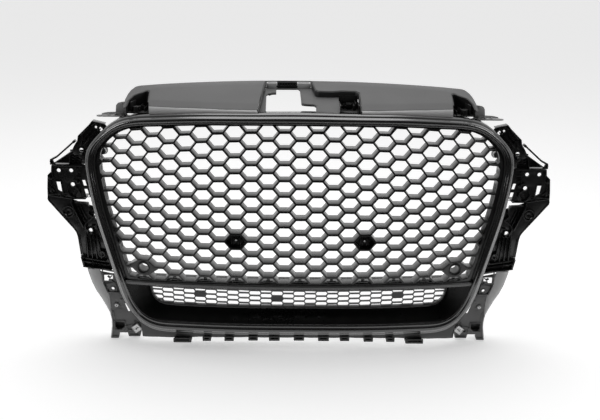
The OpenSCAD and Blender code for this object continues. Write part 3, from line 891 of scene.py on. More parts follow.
    @staticmethod
    def outside(opening: Line, diamond: Line) -> Line:
        """Pushes an opening's points out of a filled diamond.

        Args:
            opening: the opening's points.
            diamond: the diamond.

        Returns:
            The opening cut along the diamond's nearest edge.
        """
        cx, cz = np.mean(opening, axis=0)
        best, gap = None, -1e9
        for (ax, az), (bx, bz) in zip(diamond, diamond[1:] + diamond[:1]):
            length = math.dist((ax, az), (bx, bz))
            away = -((bx - ax) * (cz - az) - (bz - az) * (cx - ax)) / length
            if away > gap:
                best, gap = ((ax, az), (bx, bz)), away
        (ax, az), (bx, bz) = best
        if (bx - ax) * (cz - az) - (bz - az) * (cx - ax) < 0:
            (ax, az), (bx, bz) = (bx, bz), (ax, az)
        ux, uz = (bx - ax) / math.dist((ax, az), (bx, bz)), (bz - az) / math.dist((ax, az), (bx, bz))
        far = 400.0
        window = [(ax - ux * far, az - uz * far), (bx + ux * far, bz + uz * far),
                  (bx + ux * far - uz * far, bz + uz * far + ux * far),
                  (ax - ux * far - uz * far, az - uz * far + ux * far)]
        return clipped(opening, window)

    def rim(self, line: np.ndarray) -> None:
        """Builds the sloping rim between the ring and the cells.

        Args:
            line: the field line with its matching inner ring line.
        """
        rows = []
        for share, depth in [(0.0, 36), (0.0, 13), (0.04, 11.6), (0.14, 10.4), (0.5, 6.4), (0.9, 2.6),
                             (1.15, 1.0), (1.3, 4.0), (0.2, 36)]:
            flat = line[:, :2] + (line[:, 2:] - line[:, :2]) * share
            rows.append(np.column_stack([flat[:, 0], np.full(len(flat), float(depth)), flat[:, 1]]))
        rim = lofted("insert_rim_look", np.array(rows), close_rows=True, close_cols=False)
        finished(mapped(rim, FACE.on_face), Finish("rim_satin", "satin_black_plastic", 0.05, roughness=0.4,
                                                   grain=0.15), [], smooth=40)

    def strip(self, name: str, section: Line, half_width: float, steps: int = 60) -> bpy.types.Object:
        """Sweeps a section of (height, depth) across the grille along the rows' droop.

        Args:
            name: the new object's name.
            section: the closed section.
            half_width: half the strip's width at its middle height.
            steps: spans across.

        Returns:
            The strip, in millimetres, flat.
        """
        xs = np.linspace(-half_width, half_width, steps + 1)
        rows = [np.column_stack([xs, np.full(len(xs), float(y)), z - FACE.droop(xs, 160.0)]) for z,
                y in section]
        body = lofted(name, np.array(rows), close_rows=True, close_cols=False)
        activate(body)
        bpy.ops.object.mode_set(mode="EDIT")
        bpy.ops.mesh.select_mode(type="EDGE")
        bpy.ops.mesh.select_all(action="DESELECT")
        bpy.ops.mesh.select_non_manifold(extend=False)
        bpy.ops.mesh.edge_face_add()
        bpy.ops.mesh.select_all(action="SELECT")
        bpy.ops.mesh.normals_make_consistent(inside=False)
        bpy.ops.object.mode_set(mode="OBJECT")
        return body

    def shelf(self) -> None:
        """Builds the shelf seen through the last row of cells."""
        section = [(162.7, 36.1), (165.1, 36.1), (165.4, 44.2), (165.0, 44.9), (163.2, 44.9), (162.8, 44)]
        body = self.strip("insert_shelf_look", section, 364)
        finished(mapped(body, FACE.on_face), CELLS, ["insert_shelf"], smooth=30)

    def bar(self) -> None:
        """Builds the cross bar and the row of snap boxes that hold it to the insert."""
        section = [(161.6, 26), (162, 3.4), (161.8, 1.6), (161, 0.4), (159.6, -0.2), (157, -0.5),
                   (154.5, -0.3), (153, 0.4),
                   (152.2, 1.6), (152, 3.2), (152.2, 26)]
        body = self.strip("cross_bar_look", section, 363)
        # The cross bar's lighter base is a painted sheen.
        finished(mapped(body, FACE.on_face), BAR_PAINTED_SHEEN, ["cross_bar"], smooth=50)
        clips = []
        for column in range(-10, 11, 2):
            x = column * self.pitch_x
            z = 162.6 - float(FACE.droop(x, 160.0))
            outline = [(x - 9.5, z), (x + 9.5, z), (x + 9.5, z + 5.5), (x - 9.5, z + 5.5)]
            slot = [(x - 6.5, z + 2), (x + 6.5, z + 2), (x + 6.5, z + 3.8), (x - 6.5, z + 3.8)]
            clips.append(plate("snap_box", outline, [slot], 9, 0.5, 6.5))
            clips.append(plate("snap_hook", [(x - 4, z + 5), (x + 4, z + 5), (x + 3, z + 10),
                                             (x - 3, z + 10)], [], 3, 0.4, 10))
        body = joined("bar_snap_boxes", clips)
        # The snap boxes take the lightened satin: painted light over their shade.
        finished(mapped(body, FACE.on_face), SATIN_PAINTED_LIGHT, [], smooth=30)

    def socket(self, side: Side) -> None:
        """Builds a parking sensor socket.

        Args:
            side: which side it's on.
        """
        low, high = node_box("sensor_socket_right")
        x, y, z = 0.5 * (low[0] + high[0]), low[1], 0.5 * (low[2] + high[2])
        profile = [(10.0, 0.8), (10.3, 0.3), (10.9, 0.0), (12.2, 0.0), (12.8, 0.3), (13.0, 0.9), (13.0, 38),
                   (14.6, 38.3), (15.0, 38.8),
                   (15.0, 41.4), (14.6, 41.9), (13.0, 42.2), (12.6, 44.4), (12.0, 44.8), (10.6, 44.8),
                   (10.0, 44.2), (10.0, 16)]
        body = mapped(turned("sensor_socket_look_" + side.suffix, profile, (x, y, z), 48), FACE.straight)
        if side is Side.LEFT:
            flipped(body)
        finished(body, SATIN, ["sensor_socket_" + side.suffix], smooth=40)

    def plug(self, side: Side) -> None:
        """Builds the ribbed plug that takes a number plate screw.

        Args:
            side: which side it's on.
        """
        column, row = self.plug_cell
        outline = rounded(self.cell(column, row, self.wall + 1.0), 1.6, 2)
        low, high = node_box("plate_plug_right")
        x, z = 0.5 * (low[0] + high[0]), 0.5 * (low[2] + high[2])
        front = self.front + 8.3
        parts = [plate("plug_plate", outline, [circle(x, z, 2.2, 16)], 10, 0.6, front + 3.2)]
        for i in (-2, -1, 1, 2):
            dx = i * 4.6
            parts.append(plate("plug_rib", [(x + dx - 0.9, z - 9.5), (x + dx + 0.9, z - 9.5),
                                            (x + dx + 0.9, z + 9.5),
                                            (x + dx - 0.9, z + 9.5)], [], 4, 0.35, front + 0.4))
        parts.append(turned("plug_boss", [(2.2, 0.6), (2.6, 0), (4.4, 0), (4.9, 0.5), (4.9, 8), (2.2, 8)],
                            (x, front, z), 24))
        body = mapped(joined("plate_plug_look_" + side.suffix, parts), FACE.on_face)
        if side is Side.LEFT:
            flipped(body)
        finished(body, DARK, ["plate_plug_" + side.suffix], smooth=34)


# ---------------------------------------------------------------- lower intake
@dataclass
class LowerIntake:
    """The dished gloss intake, its window frame and the fine mesh."""

    outer_half: Line = field(default_factory=lambda: [(361, 148), (352, 119), (341, 93), (327, 74.5),
                                                      (309, 63.5), (284, 60), (200, 65), (0, 71)])
    window_half: Line = field(default_factory=lambda: [(310, 150), (309.5, 124), (307, 107), (301, 97.5),
                                                       (290, 91), (268, 89.5), (175, 94), (0, 98.5)])
    frame_half: Line = field(default_factory=lambda: [(316, 150), (315, 128), (312, 108), (306, 93),
                                                      (292, 83.5), (270, 81.8), (178, 85.8), (0, 90.5)])
    depth: float = 46.0
    pitch_x: float = 22.9
    pitch_z: float = 12.0
    top_z: float = 128.0
    window_top: float = 134.5
    bar: float = 2.0
    blanks: tuple[tuple[int, int], ...] = ((-9, 0), (-2, 1), (9, 0))

    def path(self, halves: Sequence[Line], count: int = 160) -> np.ndarray:
        """Draws matching smooth lines from the upper left down and round to the upper right.

        Args:
            halves: half outlines from the upper right to the middle.
            count: points along.

        Returns:
            A table of x, z pairs.
        """
        right = np.hstack([np.array(h, float) for h in halves])
        sign = np.tile([-1.0, 1.0], len(halves))
        whole = np.vstack([right * sign, right[::-1][1:]])
        return soften(even_steps(catmull(whole, 10, closed=False), count, closed=False), 2.0, closed=False)

    def build(self) -> None:
        """Builds the dish, the window frame, the mesh and the panel behind them."""
        table = self.path([self.outer_half, self.frame_half])
        section = [(-0.02, 6.5), (-0.02, 3.0), (0.0, 2.0), (0.05, 3.2), (0.14, 7.0), (0.26, 13), (0.4, 20),
                   (0.56, 28), (0.72, 35.5),
                   (0.86, 41.5), (0.95, 44.6), (1.0, 46.0), (1.03, 46.8), (1.03, 49.5), (0.9, 48),
                   (0.4, 25), (0.1, 10.5)]
        self.sweep("intake_dish_look", table, section, INTAKE, ["intake_floor", "intake_side_left",
                                                                "intake_side_right"])
        table = self.path([self.frame_half, self.window_half])
        section = [(-0.05, 48), (-0.05, 45.2), (0.05, 44.4), (0.3, 43.6), (0.8, 42.2), (1.0, 41.2),
                   (1.06, 41.6), (1.06, 48)]
        # The mesh frame also takes the lightened satin, so it carries the same painted light.
        self.sweep("mesh_frame_look", table, section, SATIN_PAINTED_LIGHT, ["intake_back_panel"])
        self.mesh()

    def sweep(self, name: str, table: np.ndarray, section: Line, finish: Finish,
              nodes: Sequence[str]) -> None:
        """Sweeps a section between two matching lines.

        Args:
            name: the new object's name.
            table: first line's x, z and second line's x, z.
            section: closed section of (share between the lines, depth).
            finish: the finish.
            nodes: CAD nodes that it stands for.
        """
        rows = []
        for share, y in section:
            flat = table[:, :2] + (table[:, 2:] - table[:, :2]) * share
            rows.append(np.column_stack([flat[:, 0], np.full(len(flat), float(y)), flat[:, 1]]))
        body = lofted(name, np.array(rows), close_rows=True, close_cols=False)
        finished(mapped(body, FACE.on_face), finish, nodes, smooth=50)

    def mesh(self) -> None:
        """Builds the fine mesh."""
        window = self.path([self.window_half])
        reach = 309.5
        spots = np.linspace(reach, -reach, 24)
        ceiling = [(float(x), float(self.window_top - FACE.droop(x, self.window_top))) for x in spots]
        low = [tuple(p) for p in window if p[1] < ceiling[0][1] - 1]
        opening = low + ceiling
        tip, flat = self.pitch_x * 0.575 - self.bar * 0.5, self.pitch_x * 0.425 - self.bar * 0.2
        half = (self.pitch_z - self.bar) / 2
        holes = []
        for column in range(-13, 14):
            for row in range(-1, 4):
                if (column, row) in self.blanks:
                    continue
                cx, cz = column * self.pitch_x, self.top_z - self.pitch_z * (row + 0.5 * (column % 2))
                corners = [(tip, 0), (flat, half), (-flat, half), (-tip, 0), (-flat, -half), (flat, -half)]
                cell = [(cx + dx, cz + dz - float(FACE.droop(cx + dx, cz + dz))) for dx, dz in corners]
                hole = clipped(opening, cell)
                if hole:
                    holes.append(hole)
        outline = [(x * 1.008, z - 2.5) for x, z in low]
        outline += [(float(x) * 1.008, float(150.5 - FACE.droop(x, 150.0))) for x in spots]
        body = plate("lower_mesh_look", outline, holes, 7.0, 0.38, self.depth - 8)
        finished(mapped(body, FACE.on_face), Finish("mesh_satin", "satin_black_plastic", 0.05,
                                                    roughness=0.38, grain=0.1),
                 ["lower_mesh"], smooth=34)


@dataclass(frozen=True)
class Plate:
    """A flat moulded plate with rounded edges."""

    outline: Line
    front: float
    depth: float
    holes: tuple[Line, ...] = ()
    rounding: float = 0.5

    def build(self) -> bpy.types.Object:
        """Returns:
        The plate, in millimetres.
        """
        return plate("plate", self.outline, self.holes, self.depth, self.rounding, self.front)


@dataclass(frozen=True)
class Wall:
    """A thin wall that stands along a line."""

    line: Line
    width: float
    front: float
    depth: float
    rounding: float = 0.4

    def build(self) -> bpy.types.Object:
        """Returns:
        The wall, in millimetres.
        """
        return plate("wall", wall_outline(self.line, self.width), [], self.depth, self.rounding, self.front)


@dataclass(frozen=True)
class Boss:
    """A round collar with a bore and a rounded rim."""

    x: float
    z: float
    outer: float
    inner: float
    front: float
    depth: float
    rim: float = 0.5

    def build(self) -> bpy.types.Object:
        """Returns:
        The boss, in millimetres.
        """
        r, s = self.rim, self.rim * 0.3
        profile = [(self.inner, r), (self.inner + s, s), (self.inner + r, 0), (self.outer - r, 0),
                   (self.outer - s, s),
                   (self.outer, r), (self.outer, self.depth), (self.inner, self.depth)]
        return turned("boss", profile, (self.x, self.front, self.z), 32)


@dataclass(frozen=True)
class Block:
    """A block with rounded edges, given by two corners."""

    low: tuple[float, float, float]
    high: tuple[float, float, float]
    rounding: float = 0.6

    def build(self) -> bpy.types.Object:
        """Returns:
        The block, in millimetres.
        """
        (x0, y0, z0), (x1, y1, z1) = self.low, self.high
        return plate("block", [(x0, z0), (x1, z0), (x1, z1), (x0, z1)], [], y1 - y0, self.rounding, y0)


@dataclass
class Moulding:
    """A moulding made of plates, walls, bosses and blocks, drawn for the right side."""

    name: str
    finish: Finish
    parts: list[Plate | Wall | Boss | Block]
    both_sides: bool = True
    smooth: float = 34

    def build(self) -> None:
        """Builds the right moulding and its mirrored twin."""
        body = mapped(joined(self.name + "_look", [part.build() for part in self.parts]), FACE.straight)
        if not self.both_sides:
            finished(body, self.finish, [self.name], self.smooth)
            return
        twins(body, self.name, self.finish, self.smooth)


def twins(body: bpy.types.Object, node: str, finish: Finish, smooth: float) -> None:
    """Finishes a right-hand piece and its mirrored copy with a mesh of its own.

    Args:
        body: the right-hand piece.
        node: the CAD node's name without its side.
        finish: the finish of both.
        smooth: angle under which faces are shaded smooth.
    """
    for side in Side:
        piece = body
        if side is Side.LEFT:
            piece = body.copy()
            piece.data = body.data.copy()
            bpy.context.scene.collection.objects.link(piece)
            flipped(piece)
        piece.name = piece.data.name = f"{node}_look_{side.suffix}"
        finished(piece, finish, [f"{node}_{side.suffix}"], smooth)


# ---------------------------------------------------------------- side brackets
@dataclass
class SideBracket:
    """The dark bracket beside the ring: upper arm, strut, box, blade and ribbed panel."""

    front: float = 132.0
    skin: float = 3.0

    def ring_edge(self, low: float, high: float, share: float) -> Line:
        """Follows the ring between two heights, so that a plate ends behind it.

        Args:
            low: lower height.
            high: upper height.
            share: place between the ring's outer and inner line.

        Returns:
            The line, from the lower end up.
        """
        line = LINES.at_share(share)
        line = line[(line[:, 0] > 0) & (line[:, 1] > low) & (line[:, 1] < high)]
        line = line[np.argsort(line[:, 1])][::4]
        return [tuple(p) for p in line]

    def build(self) -> None:
        """Builds both side brackets."""
        self.arm().build()
        self.strut().build()
        self.box().build()
        self.blade().build()
        self.panel().build()

    def arm(self) -> Moulding:
        """Returns:
        The upper arm with its latch loops and ribs.
        """
        y = self.front
        outline = [(396, 458), (400, 463.5), (425, 470), (431, 462), (455, 439.5), (457, 429), (463, 420),
                   (470, 407),
                   (460, 399.5), (450, 393), (449, 379), *self.ring_edge(380, 457, 0.25)]
        latch = [(404, 452), (409, 457.5), (414, 453), (409, 447.5)]
        return Moulding("upper_arm", DARK, [
            Plate(rounded(outline, 1.5, 2), y, self.skin, (circle(450, 409, 4.2), circle(418, 457, 2.6),
                                                           latch)),
            Wall([(400, 463), (425, 469), (431, 461.5), (454, 439), (456, 428.5), (462, 419.5),
                  (468.5, 407)], 2.4, y - 5, 20),
            Wall([(426, 452), (446, 431), (450, 420)], 1.8, y - 9, 10),
            Wall([(431, 459), (438, 452), (449, 441)], 1.8, y - 7, 8),
            Wall([(419, 449), (430, 437.5), (441, 424)], 2.2, y - 11, 12),
            Wall([(430, 437.5), (437, 444)], 1.6, y - 8, 9),
            Wall([(437, 430), (446, 438)], 1.6, y - 8, 9),
            Plate([(447, 402), (455, 404), (453, 396), (449, 394)], y - 12, 13, ()),
            Boss(450, 409, 6.4, 4.2, y - 2, 3),
            Boss(418, 457, 4.2, 2.6, y - 2.5, 3.5),
            Wall([(402, 457), (408.5, 463.5), (415, 457.5)], 1.6, y - 9, 10),
            Wall([(412, 460), (419, 466.5), (426, 461)], 1.6, y - 7, 8),
            Wall([(405, 450), (399, 456)], 1.4, y - 6, 7),
            Block((408, y - 14, 452), (413, y + 1, 454.5), 0.4),
            Block((432, y - 10, 413), (438, y + 1, 416), 0.4),
            Plate([(430, 385), (447, 387), (447, 391), (430, 390)], y - 3, 4, (), 0.4),
        ])

    def strut(self) -> Moulding:
        """Returns:
        The thin strut along the outer edge.
        """
        y = self.front
        return Moulding("wing_strut", DARK, [
            Wall([(464.5, 426.5), (502, 393.5), (513.5, 387.5), (512, 379)], 3.6, y, 12, 0.7),
            Wall([(463, 424), (466.5, 428)], 5.5, y - 2, 14, 0.8),
            Plate([(512, 389), (516, 389), (516.5, 377), (504, 377)], y, self.skin),
            Wall([(509, 389.5), (516, 384)], 1.6, y - 3, 6),
            Wall([(470, 420), (500, 393.7)], 1.2, y - 1.6, 3, 0.3),
        ])

    def box(self) -> Moulding:
        """Returns:
        The box bracket with its bolt holes, slots, gusset and ribbed recess.
        """
        y = self.front
        ring = self.ring_edge(305, 378, 0.3)
        outline = [(514, 376), (515, 363), (522, 356), (524.5, 330), (525, 312), (476, 304), *ring,
                   (449, 378)]
        long_slot = [(452, 345), (446, 345), (443, 333), (449, 333)]
        low_slot = [(448.5, 326), (442, 326), (438, 309), (444.5, 309)]
        slot = [(505.5, 341), (497, 341), (494.5, 319), (502.5, 324)]
        waves = [Wall([(451 + i * 2.4, 378.5 + k * 5 + 1.3 * math.sin(i * 1.3 + k)) for i in range(10)],
                      1.3, y + 5, 14, 0.3)
                 for k in range(5)]
        grid = [Wall([(456 + 3 * k, 330 - 5.2 * k), (470 + 2 * k, 322 - 5.2 * k)], 1.5, y - 3, 4,
                     0.3) for k in range(4)]
        return Moulding("box_bracket", DARK, [
            Plate(outline, y, self.skin, (circle(499, 365.5, 4.0), circle(473.5, 365.5, 4.0),
                                          circle(471.5, 336, 4.2),
                                          slot, long_slot, low_slot)),
            Wall([(450, 375), (512.5, 375), (513.5, 362.5), (521, 355.5), (523, 330), (523.5, 312.6),
                  (476, 305.2), (446, 305.2)],
                 2.2, y - 2.5, 42),
            Boss(499, 365.5, 6.0, 4.0, y - 1.4, 3), Boss(473.5, 365.5, 6.0, 4.0, y - 1.4, 3),
            Boss(471.5, 336, 6.2, 4.2, y - 1.6, 3),
            Wall([(507.5, 343), (495.5, 343), (492.5, 317)], 1.4, y - 2.4, 3.4, 0.3),
            Wall([(504, 316), (523, 315)], 1.6, y - 5, 6), Wall([(509, 322), (519, 331), (514, 318)], 1.4,
                                                                y - 4, 5, 0.3),
            Wall([(486, 313), (498, 310.5)], 1.6, y - 5, 6), Wall([(480, 319), (494, 315)], 1.4, y - 4, 5,
                                                                  0.3),
            Plate([(515, 352), (521, 356.5), (521, 349), (516, 347)], y - 6, 7),
            Wall([(516, 347), (517, 320)], 1.5, y - 3, 4, 0.3), Wall([(511, 374), (511, 352), (516, 347)],
                                                                     1.6, y - 3.6, 5, 0.3),
            Wall([(455, 350), (463, 353), (461, 344), (470, 347)], 1.5, y - 4, 5, 0.3),
            Wall([(455, 372), (459, 368), (463, 372), (467, 368)], 1.3, y - 3, 4, 0.3),
            Wall([(454, 362), (461, 362), (461, 356), (454, 356)], 1.3, y - 3, 4, 0.3),
            Wall([(467, 331), (460, 327), (456, 318), (459, 309)], 1.8, y - 6, 7),
            Wall([(478, 333), (482, 322), (476, 312), (466, 307)], 1.8, y - 6, 7),
            Block((456, y - 8, 339), (462, y + 1, 343), 0.5),
            *grid, *waves,
            Plate([(450, 377), (450, 394), (470, 406), (498, 386), (510, 378)], y + 14, self.skin,
                  ([(453, 379), (453, 392), (470, 402), (474, 379)],)),
            Plate([(449, 374), (449, 404), (479, 404), (479, 374)], y + 24, self.skin),
            Wall([(477.5, 376), (472.5, 404.5)], 1.8, y + 1, 26), Wall([(471, 404.6), (499, 385.4),
                                                                        (511, 377.5)], 2.0, y + 1, 17),
            Wall([(482, 383), (490, 388)], 1.2, y + 11, 4, 0.3), Wall([(486, 380), (496, 384)], 1.2, y + 11,
                                                                      4, 0.3),
        ])

    def blade(self) -> Moulding:
        """Returns:
        The diagonal blade with its disc and long rib.
        """
        y = self.front
        outline = [(525, 312), (526, 304), (524, 299), (501, 272), (475, 240), (470, 232), (467.5, 222),
                   (463, 182), (450, 182),
                   (452, 246), (476, 304)]
        return Moulding("wing_blade", DARK, [
            Plate(outline, y, self.skin, (circle(489.5, 270, 3.0),)),
            Wall([(523, 309), (524, 302), (499.8, 272), (473.5, 240), (468.5, 232), (466, 222),
                  (461.6, 184)], 2.0, y - 1.6, 21),
            Wall([(476.5, 303), (452, 245.5)], 2.2, y - 12, 13, 0.7),
            Boss(483, 278, 12.6, 10.4, y - 5, 6, 0.8), Boss(483, 278, 8.2, 2.6, y - 2.4, 3.4, 0.9),
                                             Boss(489.5, 270, 4.4, 3.0, y - 6, 7),
            Wall([(479, 285), (474, 290)], 1.4, y - 2, 3, 0.3), Wall([(463, 226), (458, 184)], 1.2, y - 2.4,
                                                                     3.4, 0.3),
        ])

    def panel(self) -> Moulding:
        """Returns:
        The ribbed panel between the blade and the ring.
        """
        y = self.front
        ring = self.ring_edge(150, 303, 0.3)
        outline = [(476, 304), (452, 246), (450, 182), (463, 181), (458, 157), (404, 148), *ring]
        ribs = [Wall([(447 - i * 7.5, 233 - i * 2.5), (446 - i * 9.5, 176)], 1.6, y - 8, 9) for i in range(4)]
        rungs = [Wall([(434 - i * 1.6, 282 - i * 6.5), (428.5 - i * 1.6, 281 - i * 6.5)], 1.5, y - 6, 7,
                      0.3) for i in range(5)]
        return Moulding("wing_panel", DARK, [
            Plate(outline, y, self.skin, (circle(438.5, 237.5, 4.2), circle(417, 186, 2.6),
                                          [(428, 262), (431.5, 274), (428.5, 274), (425, 262)])),
            *ribs, *rungs,
            Wall([(468.5, 299.5), (441, 297.5), (438, 283), (441, 276), (433, 266), (442, 259), (449, 252),
                  (448, 243), (443, 230),
                  (431, 231)], 1.8, y - 9, 10),
            Wall([(463, 291), (447, 249)], 1.5, y - 5, 6), Wall([(457, 291), (446, 262)], 1.2, y - 3.4, 4.4,
                                                                0.3),
            Boss(438.5, 237.5, 6.6, 4.2, y - 4, 5, 0.8), Boss(417, 186, 7.4, 4.4, y - 8, 9, 0.9),
            Wall([(461, 179.5), (424, 173), (408, 170.5)], 1.8, y - 9, 10),
                                             Wall([(459.5, 170), (404, 161.5)], 1.4, y - 6, 7),
            Wall([(457.5, 158.2), (398, 149.5)], 1.8, y - 9, 10), Wall([(438, 175), (436, 156)], 1.2, y - 4,
                                                                       5, 0.3),
            Plate([(458, 178), (462, 179), (457.5, 158.5), (454, 158)], y - 7, 8),
            Wall([(425, 247), (417.5, 224)], 1.6, y - 7, 8), Wall([(429, 247), (436, 247), (432, 228)], 1.3,
                                                                  y - 5, 6, 0.3),
        ])


# ---------------------------------------------------------------- corner brackets
@dataclass
class CornerBracket:
    """The light-grey lower bracket with its feet, clip window and spring nut."""

    front: float = 114.0

    def build(self) -> None:
        """Builds both corner brackets, their screws and spring nuts."""
        y = self.front
        inner = LINES.at_share(0.3)
        inner = inner[(inner[:, 0] > 300) & (inner[:, 1] < 156)]
        inner = inner[np.argsort(inner[:, 1])][::4]
        ring = [tuple(p) for p in inner if p[1] > 55]
        outline = [(446, 157), (443, 145), (437, 125), (429, 107), (419, 91), (409, 71), (403, 58),
                   (400, 42), (400, 28), (404, 0),
                   (386, 0), (384, 12), (367, 12), (365, 4), (340, 4), (336, 20), (318, 30), (306, 44),
                   (330, 58), *ring]
        slit = [(413, 157), (391, 152.5), (391, 149.5), (413, 154)]
        window = [(412, 143), (394, 143), (394, 134), (403, 134), (403, 130), (412, 130)]
        foot_window = [(393, 38), (372, 38), (372, 27), (379, 20), (389, 20), (393, 26)]
        parts: list[Plate | Wall | Boss | Block] = [
            Plate(outline, y, 3, (slit, window, circle(394, 114, 3.6), circle(388, 76, 2.6), foot_window,
                                  [(371, 79), (366.5, 79), (360, 61), (364, 61)])),
            Wall([(412, 146), (391, 146)], 1.8, y - 4, 6), Wall([(415, 158), (415, 128)], 1.8, y - 3, 6),
            Wall([(413.5, 127), (405, 106), (382, 105.5)], 2.2, y - 6, 8, 0.6),
            Plate([(409, 124), (401, 107), (384, 107.5), (388, 128)], y - 3, 4, (circle(394, 114, 3.6),)),
            Boss(394, 114, 5.4, 3.6, y - 5, 4), Boss(388, 76, 5.6, 2.6, y - 2.6, 4, 0.7),
            Wall([(405, 140), (400, 136.5), (396, 140.5)], 2.0, y - 1, 8),
                                                    Wall([(391.5, 127), (397.5, 131)], 1.6, y - 3, 4, 0.3),
            Wall([(371.5, 39.6), (395, 39.6), (395, 19), (378, 18.6), (371, 26), (371.5, 39.6)], 1.8,
                 y - 2.5, 22),
            Plate([(370, 40), (397, 40), (397, 18), (370, 18)], y + 18, 3),
            Wall([(396.5, 62), (394.5, 42)], 3.2, y - 1.5, 3), Wall([(375, 96), (371, 82)], 1.6, y - 2.5,
                                                                    3.5),
            Wall([(350, 40), (356, 30), (368, 28), (367, 14)], 1.8, y - 3, 5),
                                                    Wall([(341, 6), (364, 6)], 3.0, y - 3, 14),
            Wall([(386.5, 2.2), (402, 2.2)], 3.6, y - 3, 20), Block((372, y - 2, 86), (380, y + 1, 90), 0.5),
            Wall([(352, 22), (358, 17), (364, 20)], 1.5, y - 3, 4, 0.3),
        ]
        face = mapped(joined("corner_bracket_look", [part.build() for part in parts]), FACE.straight)
        twins(face, "corner_bracket", CORNER, 34)
        self.flange(y)
        self.spring_nut()
        for node in ("corner_screw", "panel_screw"):
            screw(node)
        peg = [(1.2, 0.9), (3.4, 0.3), (5.4, 0.2), (6.5, 0.9), (6.8, 2.2), (6.8, 10), (8.6, 11), (8.8, 14),
               (7.8, 14.7), (1.2, 14.7)]
        low, high = node_box("peg_right")
        x, z = low[0] + 9.0, 0.5 * (low[2] + high[2])
        arm = Block((x + 5, high[1] - 3, z - 2.4), (high[0] - 0.3, high[1] - 0.2, z + 2.4)).build()
        body = mapped(joined("peg_look", [turned("peg", peg, (x, low[1], z), 28), arm]), FACE.straight)
        # The pegs take the lightened grey: painted light over the shade behind the ring.
        twins(body, "peg", PAINTED_LIGHT_GREY, 40)

    @staticmethod
    def flange(y: float) -> None:
        """Builds the broad rounded flange along each bracket's outer edge.

        Args:
            y: depth of the bracket's front.
        """
        edge = [(446, 157), (443, 145), (437, 125), (429, 107), (419, 91), (409, 71), (403, 58), (400, 42),
                (400, 28), (403.5, 1)]
        path = even_steps(catmull(np.array(edge, float), 8, closed=False), 60, closed=False)
        rows = []
        fade = np.clip((path[:, 1] - 50) / 60, 0.1, 1.0)
        for shift, back in [(-26, 0.5), (-25, -1.2), (-19, -2.6), (-12, -3.0), (-6, -2.4), (-1.5, -0.4),
                            (1.4, 5), (2.8, 14), (3.4, 34),
                            (1.2, 34), (0.4, 15), (-3, 3.5), (-24, 1.2)]:
            rows.append(np.column_stack([path[:, 0] + shift * fade, np.full(len(path), y + back),
                                         path[:, 1]]))
        body = closed_ends(lofted("corner_flange", np.array(rows), close_rows=True, close_cols=False))
        mapped(body, FACE.straight)
        for side in Side:
            piece = body
            if side is Side.LEFT:
                piece = body.copy()
                piece.data = body.data.copy()
                bpy.context.scene.collection.objects.link(piece)
                flipped(piece)
            piece.name = piece.data.name = "corner_flange_look_" + side.suffix
            # The flange's light grey is a painted highlight on its rounded edge.
            finished(piece, FLANGE_PAINTED_LIGHT, [], 40)

    @staticmethod
    def spring_nut() -> None:
        """Builds the folded sheet nut on each corner bracket."""
        holes = ([(-4.6, -1.2), (-1.6, -1.2), (-1.6, 1.2), (-4.6, 1.2)],
                 [(1.6, -1.2), (4.6, -1.2), (4.6, 1.2), (1.6, 1.2)])
        front = plate("nut_front", rounded([(-8, -8), (8, -8), (8, 8), (-8, 8)], 1.5, 3),
                      [circle(0, 0, 1.5, 16), *holes], 1.1, 0.3)
        back = plate("nut_back", rounded([(-7, -6), (7, -6), (7, 8), (-7, 8)], 1.5, 3),
                     [circle(0, 0, 3, 20)], 1.1, 0.3, 7)
        fold = Block((-7, 0.2, 7.0), (7, 8.0, 8.1), 0.4).build()
        tongues = [Wall([(s * 1.2, -3.4), (s * 3.4, -1.0), (s * 1.4, 3.2)], 0.9, -1.0, 1.6,
                        0.2).build() for s in (-1, 1)]
        rims = [Wall([(s * 6.9, -6.5), (s * 6.9, 6.5)], 1.3, -0.9, 1.6, 0.3).build() for s in (-1, 1)]
        body = joined("spring_nut_look", [front, back, fold, *tongues, *rims])
        turn = math.radians(35)
        spin = np.array([[math.cos(turn), 0, -math.sin(turn)], [0, 1, 0],
                         [math.sin(turn), 0, math.cos(turn)]])
        low, high = node_box("spring_nut_right")
        place = np.array([0.5 * (low[0] + high[0]), low[1], 0.5 * (low[2] + high[2])])
        mapped(body, lambda p: FACE.straight(p @ spin + place))
        twins(body, "spring_nut", ZINC, 34)


def screw(node: str) -> None:
    """Builds a pan-head screw with a washer on each side.

    Args:
        node: the CAD node's name without its side.
    """
    low, high = node_box(node + "_right")
    x, y, z = 0.5 * (low[0] + high[0]), low[1], 0.5 * (low[2] + high[2])
    profile = [(1.2, 2.2), (1.4, 0.5), (2.4, 0.0), (3.6, 0.3), (4.6, 1.2), (4.9, 2.4), (4.9, 3), (2.3, 3.2),
               (2.3, 15), (1.6, 16.5), (0.3, 16.5),
               (0.3, 2.2)]
    head = turned("screw_head", profile, (x, y, z), 32)
    washer = turned("screw_washer", [(2.6, 3.0), (5.8, 3.0), (6.1, 3.3), (6.1, 3.9), (2.6, 3.9)], (x, y, z),
                    32)
    twins(mapped(joined(node + "_look", [head, washer]), FACE.straight), node, ZINC, 40)


def closed_ends(obj: bpy.types.Object) -> bpy.types.Object:
    """Fills the open ends of a swept piece.

    Args:
        obj: the piece.

    Returns:
        The same piece.
    """
    activate(obj)
    bpy.ops.object.mode_set(mode="EDIT")
    bpy.ops.mesh.select_mode(type="VERT")
    bpy.ops.mesh.select_all(action="DESELECT")
    bpy.ops.mesh.select_non_manifold(extend=False)
    bpy.ops.mesh.fill()
    bpy.ops.mesh.select_all(action="SELECT")
    bpy.ops.mesh.normals_make_consistent(inside=False)
    bpy.ops.object.mode_set(mode="OBJECT")
    return obj


